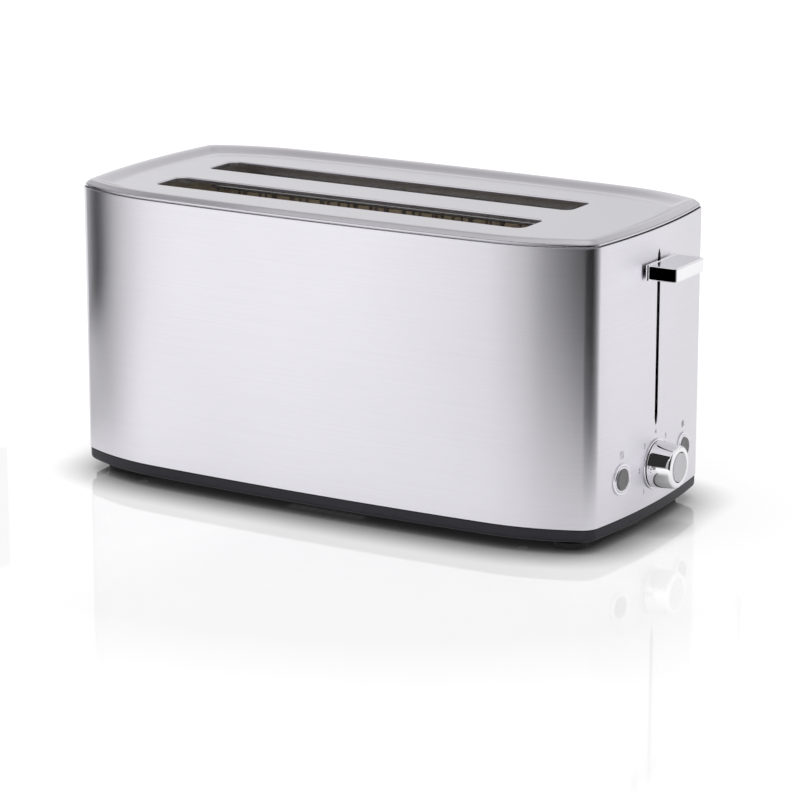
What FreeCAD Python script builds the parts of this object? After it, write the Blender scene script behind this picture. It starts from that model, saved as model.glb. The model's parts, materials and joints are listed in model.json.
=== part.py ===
import FreeCAD, Part
import math
import os

from FreeCAD import Vector

# Long slot toaster: a steel sleeve on a black base, with a dished top plate over two long bread slots.
# X runs along the length with the controls at +X, Y across it, Z up. Lengths are in millimetres.
# The model is built about the sleeve's middle, and moved at the end to the middle of its whole footprint.

# Overall sizes
length = 385.0
width = 187.5
foot_height = 4.5
base_height = 11.5
sleeve_height = 174.0
sheet = 0.8
sleeve_edge_round = 0.48

# Plan outline of the sleeve: side arc, blend arc, corner arc and end arc, by the angle that each turns
side_turn = 2.6
blend_turn = 23.4
corner_turn = 55.8
blend_radius = 147.0
corner_radius = 12.4

# Top plate
plate_sheet = 1.0
rim_rise = 4.5
dish_depth = 4.0
band_width = 15.0
dish_corner = 9.0
plate_gap = 0.3
skirt_depth = 6.0
rim_round = 1.6

# Bread slots
control_depth = 70.5
far_depth = 43.5
slot_pitch = 62.0
slot_width = 30.0
slot_corner = 6.0
collar_depth = 3.0

# Base
base_inset = 0.5
base_wall = 2.5
base_floor = 2.5
base_edge = 3.8
spigot_height = 8.0
foot_radius = 11.5
foot_taper = 1.2
foot_end_gap = 26.5
foot_side_gap = 33.8
foot_stem_radius = 4.0
foot_stem_clearance = 0.1
vent_width = 3.0
vent_pitch = 7.0
control_vent_length = 26.0
control_vent_count = 4
control_vent_setback = 24.0
side_vent_length = 10.0
side_vent_count = 8
side_vent_gap = 1.0

# Crumb tray
tray_sheet = 0.8
tray_height = 6.0
tray_leg_gap = 4.0
tray_end_gap = 6.5
tray_clearance = 0.2
tray_side_clearance = 0.6
pull_proud = 3.5
pull_height = 7.0
pull_clearance = 0.5
pull_groove_width = 60.0
pull_groove_height = 2.4
pull_groove_skin = 0.6
rail_width = 1.8
rail_height = 5.0
rail_end_gap = 6.0

# Lever and carriage
lever_width = 39.0
lever_height = 9.0
lever_reach = 21.5
lever_wall_gap = 1.0
lever_drop = 24.0
lever_round = 1.2
lever_end_round = 3.2
lever_collar = 1.8
lever_collar_step = 0.4
arm_sheet = 2.4
arm_height = 6.0
arm_drop = 1.2
arm_engagement = 11.0
lever_slot_width = 4.0
lever_slot_overrun = 1.3
lever_slot_headroom = 0.2
lever_slot_point = 6.0
lever_slot_fullness = 0.72
lever_knob_gap = 13.5
lift_travel = 6.5
rack_low_top = 43.0
rack_sheet = 1.2
rack_height = 8.0
rack_tab_width = 12.0
rack_tab_length = 7.0
rack_tab_stagger = 2.0
rack_tab_count = 11
rack_end_margin = 12.0
rack_overhang = 2.0
rack_slot_clearance = 0.9
rack_slot_overrun = 2.0
carriage_sheet = 1.2
carriage_gap = 4.0
carriage_half_width = 41.0
carriage_head = 3.0
shelf_margin = 1.0
slide_size = 10.0
slide_height = 18.0
rod_radius = 2.5
rod_offset = 9.0
rod_spread = 24.0
rod_headroom = 6.0
rod_boss_wall = 2.5
rod_boss_height = 7.0
rod_seat = 2.0
rod_seat_gap = 0.1
rod_shelf_margin = 6.0
rod_proud = 2.5
running = 0.05
spring_gap = 0.8
spring_wall = 1.0
armature_sheet = 2.0
armature_length = 14.0
armature_half_width = 10.0
pole_gap = 0.3

# Chassis and heaters
chassis_sheet = 1.0
chassis_gap = 6.0
chassis_margin = 4.0
leg_width = 12.0
leg_foot = 14.0
reflector_sheet = 0.6
reflector_gap = 12.0
reflector_flange = 10.0
reflector_lower_flange = 6.0
reflector_lift = 2.0
heater_sheet = 0.6
heater_gap = 7.0
heater_bottom = 50.0
heater_top_gap = 17.5
heater_tab = 12.0
heater_tab_proud = 1.0
slit_clearance = 0.15
ribbon_sheet = 0.2
ribbon_width = 2.0
ribbon_count = 22
ribbon_end_margin = 4.0
guide_gap = 1.0
guide_pivot_z = 40.0
guide_top_gap = 11.5
guide_rod_radius = 1.0
guide_rod_proud = 1.5
guide_bar_radius = 0.95
guide_bar_shares = (0.34, 0.67, 1.0)
guide_wire_radius = 0.9
guide_wire_offset = 1.5
guide_wire_over = 1.5
guide_wire_count = 13
guide_end_margin = 3.0
guide_wire_margin = 4.0

# Knob, buttons and what is behind them
control_z = 41.0
knob_radius = 15.0
knob_taper = 1.7
knob_reach = 17.0
knob_gap = 0.3
knob_round = 1.4
knob_stem_radius = 5.15
knob_bore_radius = 3.3
knob_recess_depth = 6.2
knob_hole_clearance = 0.85
nub_radius = 1.5
nub_setback = 2.6
nub_proud = 0.6
bezel_proud = 1.2
bezel_gap = 0.1
knob_bezel_step = 0.75
knob_bezel_lap = 3.0
cancel_rim = 3.9
cancel_clearance = 0.25
cancel_proud = 0.5
cancel_round = 0.5
cancel_rod_radius = 3.0
press_travel = 1.5
press_gap = 0.2
button_spread = 42.0
button_bezel_radius = 10.0
button_bezel_sleeve = 8.4
button_bore = 6.75
button_radius = 6.65
button_proud = 1.9
button_depth = 4.0
button_round = 0.6
button_stem_radius = 2.5
stem_clearance = 0.5
hole_clearance = 0.2
bezel_sleeve_length = 7.0
carrier_sheet = 2.5
carrier_depth = 12.5
carrier_half_width = 60.0
carrier_top = 62.0
board_sheet = 1.6
board_gap = 12.4
board_half_width = 54.0
board_bottom = 20.0
board_top = 60.0
boss_radius = 3.2
boss_spread = 48.0
boss_end_margin = 6.0
switch_size = 6.0
switch_depth = 3.0
plunger_radius = 1.5
plunger_length = 1.6
stem_end_gap = 0.9
pot_size = 22.0
pot_depth = 8.4
pot_pocket_gap = 0.5
relay_size = Vector(12, 14, 18)
relay_corner = (-44.0, 24.0)
transformer_size = Vector(12, 16, 20)
transformer_corner = (-24.0, 24.0)
capacitor_radius = 4.0
capacitor_length = 12.0
capacitor_places = ((8.0, 30.0), (20.0, 30.0))
chip_size = Vector(2, 18, 8)
chip_corner = (26.0, 44.0)

# Magnet, mains switch, cord entry and screws
core_length = 12.0
core_leg = 4.0
core_yoke = 5.0
core_gap = 0.4
coil_overhang = 3.0
coil_round = 2.0
coil_drop = 1.5
magnet_bottom = 12.0
bracket_sheet = 1.2
bracket_half_width = 14.0
bracket_margin = 2.0
bracket_riser = 14.0
bracket_prop = 4.0
mains_switch_size = 12.0
mains_switch_depth = 13.0
mains_switch_y = 46.0
mains_switch_lift = 9.0
switch_key_height = 2.0
switch_key_margin = 4.0
switch_finger_width = 8.0
actuator_gap = 0.5
gland_setback = 16.0
gland_bore = 3.3
gland_body = 3.9
gland_flange = 4.4
gland_flange_sheet = 1.4
gland_wall_gap = 0.3
terminal_size = Vector(16, 14, 12)
terminal_setback = 18.0
terminal_y = 60.0
terminal_count = 3
terminal_hole = 1.6
terminal_floor = 4.0
screw_radius = 1.45
screw_head_radius = 3.0
screw_head_height = 1.3
screw_length = 7.0
thread_clearance = 0.05
screw_sink = 0.1
screw_clearance = 0.3
drive_width = 0.8
drive_length = 4.0
drive_depth = 0.8
board_screw_radius = 1.2
board_screw_head = 2.6
board_screw_head_height = 2.0
board_screw_length = 8.0

# How far a cutter runs past the faces it cuts, and how far pieces of one solid run into each other
past = 1.0
lap = 0.1

# Levels and stations that follow from the sizes above
half_length = length / 2
base_bottom = foot_height
floor_top = base_bottom + base_floor
sleeve_bottom = foot_height + base_height
sleeve_top = sleeve_bottom + sleeve_height
rim_top = sleeve_top + rim_rise
panel_top = rim_top - dish_depth
panel_under = panel_top - plate_sheet
slot_x0 = -half_length + far_depth
slot_x1 = half_length - control_depth
slot_y = slot_pitch / 2
control_plate = slot_x1 + chassis_gap
far_plate = slot_x0 - chassis_gap
leg_top = sleeve_bottom
guide_offset = slot_width / 2 - guide_gap
heater_offset = slot_width / 2 + heater_gap
reflector_offset = slot_width / 2 + reflector_gap
chassis_half_width = slot_y + reflector_offset + reflector_flange + chassis_margin
lever_z = sleeve_top - lever_drop
lever_low_z = control_z + knob_radius + lever_knob_gap + lever_height / 2
travel = lever_z - lever_low_z
rack_top = rack_low_top + travel
rack_bottom = rack_top - rack_sheet - rack_height
carriage_x = control_plate + chassis_sheet + carriage_gap
carriage_bottom = rack_bottom - rack_sheet
arm_bottom = lever_z - arm_drop - arm_height / 2
arm_top = arm_bottom + arm_height
carriage_top = arm_top + carriage_head
rod_x = carriage_x + rod_offset
slide_top = lever_z
slide_bottom = slide_top - slide_height
rod_top = slide_top + lift_travel + rod_headroom
boss_top = floor_top + rod_boss_height
spring_inner = rod_radius + spring_gap
spring_outer = spring_inner + spring_wall
armature_bottom = carriage_bottom - armature_sheet
pole_top = armature_bottom - travel - pole_gap
heater_top = sleeve_top - heater_top_gap
guide_top = sleeve_top - guide_top_gap
carrier_x = half_length - carrier_depth
board_x = carrier_x - board_gap - board_sheet
board_front = board_x + board_sheet
plunger_end = board_front + switch_depth + plunger_length
stem_hole = button_stem_radius + stem_clearance
knob_hole = knob_stem_radius + knob_hole_clearance
knob_front_radius = knob_radius - knob_taper
knob_bezel_radius = knob_radius + knob_bezel_step
knob_bezel_bore = knob_radius - knob_bezel_lap
cancel_radius = knob_front_radius - cancel_rim
tray_half_width = chassis_half_width - leg_width - tray_leg_gap
tray_bottom = floor_top + tray_clearance
tray_x0 = -half_length + tray_end_gap
tray_x1 = control_plate - tray_leg_gap
gland_x = control_plate - gland_setback
gland_z = (floor_top + sleeve_bottom) / 2


def block(x0, x1, y0, y1, z0, z1):
    """Box between two corners."""
    return Part.makeBox(x1 - x0, y1 - y0, z1 - z0, Vector(x0, y0, z0))


def rod(start, direction, radius, span):
    """Round bar from a point along a direction."""
    return Part.makeCylinder(radius, span, Vector(*start), Vector(*direction))


def mirrored(shape):
    """The shape on the other side of the long middle plane."""
    return shape.mirror(Vector(0, 0, 0), Vector(0, 1, 0))


def both_sides(shape):
    """A piece and its mirror image, as two solids."""
    return Part.makeCompound([shape, mirrored(shape)])


def fused(shapes):
    """One solid out of pieces that overlap or touch."""
    whole = shapes[0].fuse(shapes[1:]) if len(shapes) > 1 else shapes[0]
    return whole.removeSplitter()


def turn_step(start, end, radius):
    """Displacement along an arc that turns left from one heading to another."""
    return Vector(
        radius * (math.sin(end) - math.sin(start)),
        radius * (math.cos(start) - math.cos(end)),
        0,
    )


def quarter_arcs(inset, corner):
    """Ends and middles of the four arcs from the side's middle to the end's middle, and their radii."""
    turns = [0, side_turn, blend_turn, corner_turn]
    headings = [math.radians(sum(turns[: i + 1])) for i in range(4)] + [math.pi / 2]
    blend = blend_radius - inset
    round_corner = corner_radius - inset if corner is None else corner
    unit_side = turn_step(headings[0], headings[1], 1)
    unit_end = turn_step(headings[3], headings[4], 1)
    fixed = turn_step(headings[1], headings[2], blend) + turn_step(headings[2], headings[3], round_corner)
    right = half_length - inset - fixed.x
    up = width / 2 - inset - fixed.y
    determinant = unit_side.x * unit_end.y - unit_side.y * unit_end.x
    side = (right * unit_end.y - up * unit_end.x) / determinant
    end = (unit_side.x * up - unit_side.y * right) / determinant
    radii = [side, blend, round_corner, end]
    points = [Vector(0, inset - width / 2, 0)]
    middles = []
    for radius, start, stop in zip(radii, headings[:-1], headings[1:]):
        middles.append(points[-1] + turn_step(start, (start + stop) / 2, radius))
        points.append(points[-1] + turn_step(start, stop, radius))
    return points, middles


def outline(inset, z, corner=None):
    """Closed plan outline of the sleeve, moved in by an inset, with its own corner radius if one is given."""
    points, middles = quarter_arcs(inset, corner)

    def place(point, sx, sy):
        return Vector(sx * point.x, sy * point.y, z)

    def arc(a, b, c):
        return Part.Arc(a, b, c).toShape()

    edges = []
    for sx, sy, forward in ((1, 1, True), (1, -1, False), (-1, -1, True), (-1, 1, False)):
        spans = [(points[i], middles[i], points[i + 1]) for i in (1, 2)]
        if not forward:
            spans = [(c, b, a) for a, b, c in reversed(spans)]
        edges += [arc(place(a, sx, sy), place(b, sx, sy), place(c, sx, sy)) for a, b, c in spans]
        if forward:
            edges.append(arc(place(points[3], sx, sy), place(points[4], sx, sy), place(points[3], sx, -sy)))
        else:
            edges.append(arc(place(points[1], sx, sy), place(points[0], sx, sy), place(points[1], -sx, sy)))
    return Part.Wire(Part.__sortEdges__(edges))


def prism(inset, z0, z1, corner=None):
    """Upright solid on the plan outline."""
    return Part.Face(outline(inset, z0, corner)).extrude(Vector(0, 0, z1 - z0))


def surface_point(start, heading, inset):
    """Where a level line from a point inside the outline meets it."""
    line = Part.makeLine(start, start + heading * length)
    return outline(inset, 0).distToShape(line)[1][0][0]


def surface_x(y):
    """How far out the control end's bowed face lies at a given y."""
    return surface_point(Vector(0, y, 0), Vector(1, 0, 0), 0).x


def surface_y(x, inset):
    """How far out the long side's bowed face lies at a given x, at an inset."""
    return surface_point(Vector(x, 0, 0), Vector(0, 1, 0), inset).y


def edges_at(shape, z):
    """Edges of a shape that lie all along one level."""
    levels = [(edge, edge.BoundBox) for edge in shape.Edges]
    return [edge for edge, box in levels if abs(box.ZMin - z) < 1e-4 and abs(box.ZMax - z) < 1e-4]


def upright_edges(shape):
    """Edges of a shape that run straight up."""
    return [e for e in shape.Edges if e.BoundBox.XLength < 1e-4 and e.BoundBox.YLength < 1e-4]


def rounded_slot(x0, x1, y0, y1, z0, z1, corner):
    """Upright solid with a rounded rectangle as its plan."""
    solid = block(x0, x1, y0, y1, z0, z1)
    return solid.makeFillet(corner, upright_edges(solid))


# Outer casing


def housing_shell():
    """Steel sleeve with its lever slot, knob hole and two button holes in the control end."""
    outer = prism(0, sleeve_bottom, sleeve_top)
    outer = outer.makeFillet(sleeve_edge_round, edges_at(outer, sleeve_top))
    shell = outer.cut(prism(sheet, sleeve_bottom - past, sleeve_top + past))
    start = surface_x(button_spread + button_bezel_sleeve) - sheet - past
    reach = half_length + past - start
    shell = shell.cut(lever_slot_cutter(start, reach))
    shell = shell.cut(rod((start, 0, control_z), (1, 0, 0), knob_hole, reach))
    for side in (-1, 1):
        centre = (start, side * button_spread, control_z)
        shell = shell.cut(rod(centre, (1, 0, 0), button_bezel_sleeve + hole_clearance, reach))
    return shell


def lever_slot_cutter(start, reach):
    """Upright slot with drawn-out ends, as a solid that runs through the control end."""
    half = lever_slot_width / 2
    tip_middle = half * lever_slot_fullness
    low = arm_bottom - travel - lever_slot_point / 2 - lever_slot_overrun
    high = arm_top + lift_travel + lever_slot_point / 2 + lever_slot_headroom
    low_shoulder = low + lever_slot_point
    high_shoulder = high - lever_slot_point
    edges = []
    for tip, shoulder in ((low, low_shoulder), (high, high_shoulder)):
        point = Vector(start, 0, tip)
        for side in (-1, 1):
            middle = Vector(start, side * tip_middle, (tip + shoulder) / 2)
            edges.append(Part.Arc(Vector(start, side * half, shoulder), middle, point).toShape())
    for y in (-half, half):
        edges.append(Part.makeLine(Vector(start, y, low_shoulder), Vector(start, y, high_shoulder)))
    wire = Part.Wire(Part.__sortEdges__(edges))
    return Part.Face(wire).extrude(Vector(reach, 0, 0))


def dish_plug(drop):
    """The space above the dished top of the plate, lowered and narrowed by the sheet for its underside."""
    edge = sheet + plate_gap + rim_round + drop
    shares = ((-0.04, -0.1), (0.1, 0.03), (0.5, 0.5), (0.9, 0.97), (1.0, 1.0))
    high = rim_top - drop
    sections = [outline(edge + band_width * s, high - dish_depth * d, dish_corner) for s, d in shares]
    return Part.makeLoft(sections, True, False)


def top_plate():
    """Dished steel plate: a skirt inside the sleeve, a rim, a sloping band and a panel with two slots."""
    outer_inset = sheet + plate_gap
    skirt_bottom = sleeve_top - skirt_depth
    plate = prism(outer_inset, skirt_bottom, rim_top)
    plate = plate.makeFillet(rim_round, edges_at(plate, rim_top))
    plate = plate.cut(dish_plug(0))
    hollow = prism(outer_inset + plate_sheet, skirt_bottom - past, rim_top - plate_sheet)
    plate = plate.cut(hollow.cut(dish_plug(plate_sheet)))
    low = panel_top - collar_depth
    high = panel_under + plate_sheet / 2
    for y in (-slot_y, slot_y):
        box = (slot_x0, slot_x1, y - slot_width / 2, y + slot_width / 2)
        wide = [v + s * plate_sheet for v, s in zip(box, (-1, 1, -1, 1))]
        plate = plate.fuse(rounded_slot(*wide, low, high, slot_corner + plate_sheet))
        plate = plate.cut(rounded_slot(*box, low - past, rim_top + past, slot_corner))
    return plate.removeSplitter()


def base():
    """Black moulded base: floor, walls, spigot inside the sleeve, tray bay, bosses, vents and holes."""
    body = prism(base_inset, base_bottom, sleeve_bottom)
    body = body.makeFillet(base_edge, edges_at(body, base_bottom))
    spigot_top = sleeve_bottom + spigot_height
    body = body.fuse(prism(sheet + plate_gap, sleeve_bottom, spigot_top))
    body = body.cut(prism(base_inset + base_wall, floor_top, spigot_top + past))
    bay_half = tray_half_width + tray_side_clearance
    window_half = bay_half + pull_clearance
    window_top = tray_bottom + pull_height + pull_clearance
    rail_start = tray_x0 + rail_end_gap
    window_end = rail_start - past
    body = body.cut(block(-half_length - past, window_end, -window_half, window_half, floor_top, window_top))
    rail_top = floor_top + rail_height
    rail = block(rail_start, tray_x1, bay_half, bay_half + rail_width, floor_top - lap, rail_top)
    boss_start = (rod_x, rod_spread, floor_top - lap)
    boss = rod(boss_start, (0, 0, 1), rod_radius + rod_boss_wall, rod_boss_height + lap)
    seat = rod((rod_x, rod_spread, floor_top + rod_seat), (0, 0, 1), rod_radius + running, rod_boss_height)
    boss = boss.cut(seat)
    body = body.fuse([rail, mirrored(rail), boss, mirrored(boss)])
    low = base_bottom - past
    for x, y in foot_places():
        body = body.cut(rod((x, y, low), (0, 0, 1), foot_stem_radius, base_floor + past))
    for x, y in base_screw_places():
        head_space = screw_head_height + screw_sink + past
        body = body.cut(rod((x, y, low), (0, 0, 1), screw_head_radius + screw_clearance, head_space))
        body = body.cut(rod((x, y, low), (0, 0, 1), screw_radius + hole_clearance, base_floor + 2 * past))
    body = body.cut(vents())
    face = surface_y(gland_x, base_inset)
    start = (gland_x, face - base_wall - past, gland_z)
    body = body.cut(rod(start, (0, 1, 0), gland_body + thread_clearance, base_wall + 2 * past))
    return body.removeSplitter()


def vents():
    """Cutters for the rows of air slots in the base's floor, under the controls and beside the chassis."""
    low = base_bottom - past
    high = floor_top + past
    half = control_vent_length / 2
    cutters = []
    for i in range(control_vent_count):
        x = control_plate + control_vent_setback + i * vent_pitch
        cutters.append(block(x, x + vent_width, -half, half, low, high))
    row_start = -((side_vent_count - 1) * vent_pitch + vent_width) / 2
    y = chassis_half_width + side_vent_gap
    for i in range(side_vent_count):
        x = row_start + i * vent_pitch
        vent = block(x, x + vent_width, y, y + side_vent_length, low, high)
        cutters += [vent, mirrored(vent)]
    return cutters


def foot_places():
    """Centres of the four feet."""
    x = half_length - foot_end_gap
    y = width / 2 - foot_side_gap
    return [(sx * x, sy * y) for sx in (-1, 1) for sy in (-1, 1)]


def feet():
    """Four rubber pads, each with a stem in the base's floor."""
    pads = []
    stem_height = base_floor + lap
    for x, y in foot_places():
        pad = Part.makeCone(foot_radius - foot_taper, foot_radius, foot_height, Vector(x, y, 0))
        stem = rod((x, y, foot_height - lap), (0, 0, 1), foot_stem_radius - foot_stem_clearance, stem_height)
        pads.append(pad.fuse(stem))
    return Part.makeCompound(pads)


def base_screw_places():
    """Where the chassis feet are screwed down."""
    y = chassis_half_width - leg_width / 2
    foot_middle = leg_foot / 2
    near = control_plate + chassis_sheet + foot_middle
    far = far_plate + foot_middle
    return [(x, side * y) for x in (near, far) for side in (-1, 1)]


def base_screws():
    """Four pan head screws up through the base into the chassis feet."""
    screws = []
    head_bottom = base_bottom + screw_sink
    half = drive_length / 2
    for x, y in base_screw_places():
        head = rod((x, y, head_bottom), (0, 0, 1), screw_head_radius, screw_head_height)
        shank = rod((x, y, head_bottom + lap), (0, 0, 1), screw_radius, screw_length)
        low = head_bottom - past
        high = head_bottom + drive_depth
        drive = block(x - half, x + half, y - drive_width / 2, y + drive_width / 2, low, high)
        across = drive.copy().rotated(Vector(x, y, 0), Vector(0, 0, 1), 90)
        screws.append(head.fuse(shank).cut([drive, across]))
    return Part.makeCompound(screws)


def cord_gland():
    """Bush for the mains cord in the base's back wall."""
    face = surface_y(gland_x, base_inset)
    outside = face + gland_wall_gap
    inside = face - base_wall - gland_wall_gap - gland_flange_sheet
    span = outside + gland_flange_sheet - inside
    pieces = [rod((gland_x, inside, gland_z), (0, 1, 0), gland_body, span)]
    for y in (inside, outside):
        pieces.append(rod((gland_x, y, gland_z), (0, 1, 0), gland_flange, gland_flange_sheet))
    bore = rod((gland_x, inside - past, gland_z), (0, 1, 0), gland_bore, span + 2 * past)
    return fused(pieces).cut(bore)


# Crumb tray


def crumb_tray():
    """Shallow steel pan that lies on the base's floor between the rails."""
    y = tray_half_width
    top = tray_bottom + tray_height
    pan = block(tray_x0, tray_x1, -y, y, tray_bottom, top)
    s = tray_sheet
    return pan.cut(block(tray_x0 + s, tray_x1 - s, s - y, y - s, tray_bottom + s, top + past))


def tray_pull():
    """Black front of the crumb tray, bowed like the end it closes, with a finger groove under it."""
    y = tray_half_width + tray_side_clearance
    low = tray_bottom + lap
    high = tray_bottom + pull_height
    outside = -half_length - pull_proud - past
    bar = prism(-pull_proud, low, high).common(block(outside, tray_x0, -y, y, low, high))
    half = pull_groove_width / 2
    groove_end = -half_length - pull_groove_skin
    groove = block(outside, groove_end, -half, half, low - past, low + pull_groove_height)
    return bar.cut(groove)


# Lever and carriage


def lever_knob():
    """Chrome block on the arm, with rounded outer corners and a collar at its root."""
    x0 = half_length + lever_wall_gap
    x1 = half_length + lever_reach
    y = lever_width / 2
    z0 = lever_z - lever_height / 2
    z1 = lever_z + lever_height / 2
    bar = block(x0, x1, -y, y, z0, z1)
    outer = [e for e in upright_edges(bar) if e.BoundBox.XMin > x0 + past]
    bar = bar.makeFillet(lever_end_round, outer)
    rims = [e for z in (z0, z1) for e in edges_at(bar, z) if e.BoundBox.XMax > x0 + lap]
    bar = bar.makeFillet(lever_round, rims)
    step = lever_collar_step
    collar = block(x0, x0 + lever_collar, -y - step, y + step, z0 - step, z1 + step)
    long_edges = [e for e in collar.Edges if e.BoundBox.XLength > lever_collar / 2]
    collar = collar.makeFillet(lever_round, long_edges)
    half = arm_sheet / 2
    pocket = block(x0 - past, x0 + arm_engagement, -half, half, arm_bottom, arm_top)
    return fused([bar, collar]).cut(pocket)


def lever_arm():
    """Flat steel arm from the carriage through the slot into the lever knob."""
    start = carriage_x + carriage_sheet
    end = half_length + lever_wall_gap + arm_engagement
    return block(start, end, -arm_sheet / 2, arm_sheet / 2, arm_bottom, arm_top)


def carriage_plate():
    """Sheet steel plate that joins the arm, both racks, the armature and the mains switch's finger."""
    x1 = carriage_x + carriage_sheet
    half = carriage_half_width
    low = carriage_bottom
    high = carriage_bottom + carriage_sheet
    plate = block(carriage_x, x1, -half, half, low, carriage_top)
    shelf_half = armature_half_width + shelf_margin
    shelf_end = rod_x + armature_length / 2 - shelf_margin
    shelf = block(x1 - lap, shelf_end, -shelf_half, shelf_half, low, high)
    finger_end = control_plate + chassis_sheet + mains_switch_depth - shelf_margin
    finger = block(carriage_x, finger_end, half - lap, mains_switch_y + switch_finger_width, low, high)
    return fused([plate, shelf, finger])


def carriage_slides():
    """Two moulded blocks that run on the guide rods."""
    half = slide_size / 2
    x0 = carriage_x + carriage_sheet
    body = block(x0, rod_x + half, rod_spread - half, rod_spread + half, slide_bottom, slide_top)
    start = (rod_x, rod_spread, slide_bottom - past)
    return both_sides(body.cut(rod(start, (0, 0, 1), rod_radius + running, slide_height + 2 * past)))


def bread_rack(side):
    """Strip under one row of bread, with cross tabs on its top edge."""
    y = side * slot_y
    half = rack_sheet / 2
    start = far_plate - chassis_sheet - rack_overhang
    tab_bottom = rack_top - rack_sheet
    pieces = [block(start, carriage_x, y - half, y + half, rack_bottom, tab_bottom)]
    first = slot_x0 + rack_end_margin
    last = slot_x1 - rack_end_margin - rack_tab_length
    for i in range(rack_tab_count):
        x = first + (last - first) * i / (rack_tab_count - 1)
        stagger = rack_tab_stagger if i % 2 else -rack_tab_stagger
        y0 = y + stagger - rack_tab_width / 2
        pieces.append(block(x, x + rack_tab_length, y0, y0 + rack_tab_width, tab_bottom - lap, rack_top))
    return fused(pieces)


def armature_plate():
    """Soft iron plate under the carriage's shelf, which the magnet holds down."""
    x0 = rod_x - armature_length / 2
    y = armature_half_width
    return block(x0, x0 + armature_length, -y, y, armature_bottom, carriage_bottom)


def guide_rods():
    """Two upright rods that the carriage runs on, from the base's bosses to the chassis shelf."""
    start = floor_top + rod_seat + rod_seat_gap
    return both_sides(rod((rod_x, rod_spread, start), (0, 0, 1), rod_radius, rod_top + rod_proud - start))


def return_springs():
    """Compression springs round the guide rods, as plain sleeves of their outer shape."""
    span = slide_bottom - boss_top
    outer = rod((rod_x, rod_spread, boss_top), (0, 0, 1), spring_outer, span)
    bore = rod((rod_x, rod_spread, boss_top - past), (0, 0, 1), spring_inner, span + 2 * past)
    return both_sides(outer.cut(bore))


# Chassis


def end_plate(lo):
    """One upright chassis plate on two legs, with feet bent towards +X, rack slots, pivot holes and slits."""
    hi = lo + chassis_sheet
    half = chassis_half_width
    pieces = [block(lo, hi, -half, half, leg_top, panel_under)]
    for side in (-1, 1):
        y0, y1 = sorted((side * (half - leg_width), side * half))
        pieces.append(block(lo, hi, y0, y1, floor_top, leg_top + lap))
        pieces.append(block(hi - lap, hi + leg_foot, y0, y1, floor_top, floor_top + chassis_sheet))
    plate = fused(pieces)
    for x, y in base_screw_places():
        start = (x, y, floor_top - past)
        plate = plate.cut(rod(start, (0, 0, 1), screw_radius + thread_clearance, chassis_sheet + 2 * past))
    rack_half = rack_sheet / 2 + rack_slot_clearance
    rack_low = rack_bottom - travel - rack_slot_overrun
    rack_high = rack_top + lift_travel + rack_slot_overrun / 2
    tab_half = heater_sheet / 2 + slit_clearance
    cutters = []
    x0 = lo - past
    x1 = hi + past
    for centre in (-slot_y, slot_y):
        cutters.append(block(x0, x1, centre - rack_half, centre + rack_half, rack_low, rack_high))
        for y in (centre - guide_offset, centre + guide_offset):
            pivot = (x0, y, guide_pivot_z)
            cutters.append(rod(pivot, (1, 0, 0), guide_rod_radius + running, x1 - x0))
        for y in (centre - heater_offset, centre + heater_offset):
            for z0, z1 in heater_tab_levels():
                low = z0 - slit_clearance
                high = z1 + slit_clearance
                cutters.append(block(x0, x1, y - tab_half, y + tab_half, low, high))
    return plate.cut(cutters)


def control_end_plate():
    """Chassis plate at the control end, with a shelf that holds the tops of the guide rods."""
    x1 = control_plate + chassis_sheet
    y = rod_spread + rod_shelf_margin
    shelf = block(x1 - lap, rod_x + rod_shelf_margin, -y, y, rod_top, rod_top + chassis_sheet)
    plate = fused([end_plate(control_plate), shelf])
    for side in (-1, 1):
        start = (rod_x, side * rod_spread, rod_top - past)
        plate = plate.cut(rod(start, (0, 0, 1), rod_radius + running, chassis_sheet + 2 * past))
    return plate


def far_end_plate():
    """Chassis plate at the end away from the controls."""
    return end_plate(far_plate - chassis_sheet)


def reflector(side):
    """Bright sheet beside the outer heater, with flanges along its top and bottom."""
    y = slot_y + reflector_offset
    t = reflector_sheet
    low = leg_top + reflector_lift
    high = panel_under
    x0 = far_plate
    x1 = control_plate
    upright = block(x0, x1, y, y + t, low, high)
    top = block(x0, x1, y, y + reflector_flange, high - t, high)
    bottom = block(x0, x1, y, y + reflector_lower_flange, low, low + t)
    shape = fused([upright, top, bottom])
    return shape if side > 0 else mirrored(shape)


def heater_tab_levels():
    """Levels of the two tabs on each end of a heater board."""
    third = (heater_top - heater_bottom) / 3
    middles = (heater_bottom + third / 2, heater_top - third / 2)
    return [(z - heater_tab / 2, z + heater_tab / 2) for z in middles]


def heater_board(y):
    """Mica board between the end plates, with tabs in their slits."""
    t = heater_sheet / 2
    over = chassis_sheet + heater_tab_proud
    pieces = [block(far_plate, control_plate, y - t, y + t, heater_bottom, heater_top)]
    for z0, z1 in heater_tab_levels():
        pieces.append(block(far_plate - over, control_plate + over, y - t, y + t, z0, z1))
    return fused(pieces)


def heater_ribbon(y):
    """Turns of flat resistance ribbon wound round a heater board."""
    t = ribbon_sheet
    inner = heater_sheet / 2
    outer = inner + t
    first = slot_x0 + ribbon_end_margin
    last = slot_x1 - ribbon_end_margin - ribbon_width
    turns = []
    for i in range(ribbon_count):
        x0 = first + (last - first) * i / (ribbon_count - 1)
        x1 = x0 + ribbon_width
        loop = block(x0, x1, y - outer, y + outer, heater_bottom - t, heater_top + t)
        turns.append(loop.cut(block(x0 - past, x1 + past, y - inner, y + inner, heater_bottom, heater_top)))
    return Part.makeCompound(turns)


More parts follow.
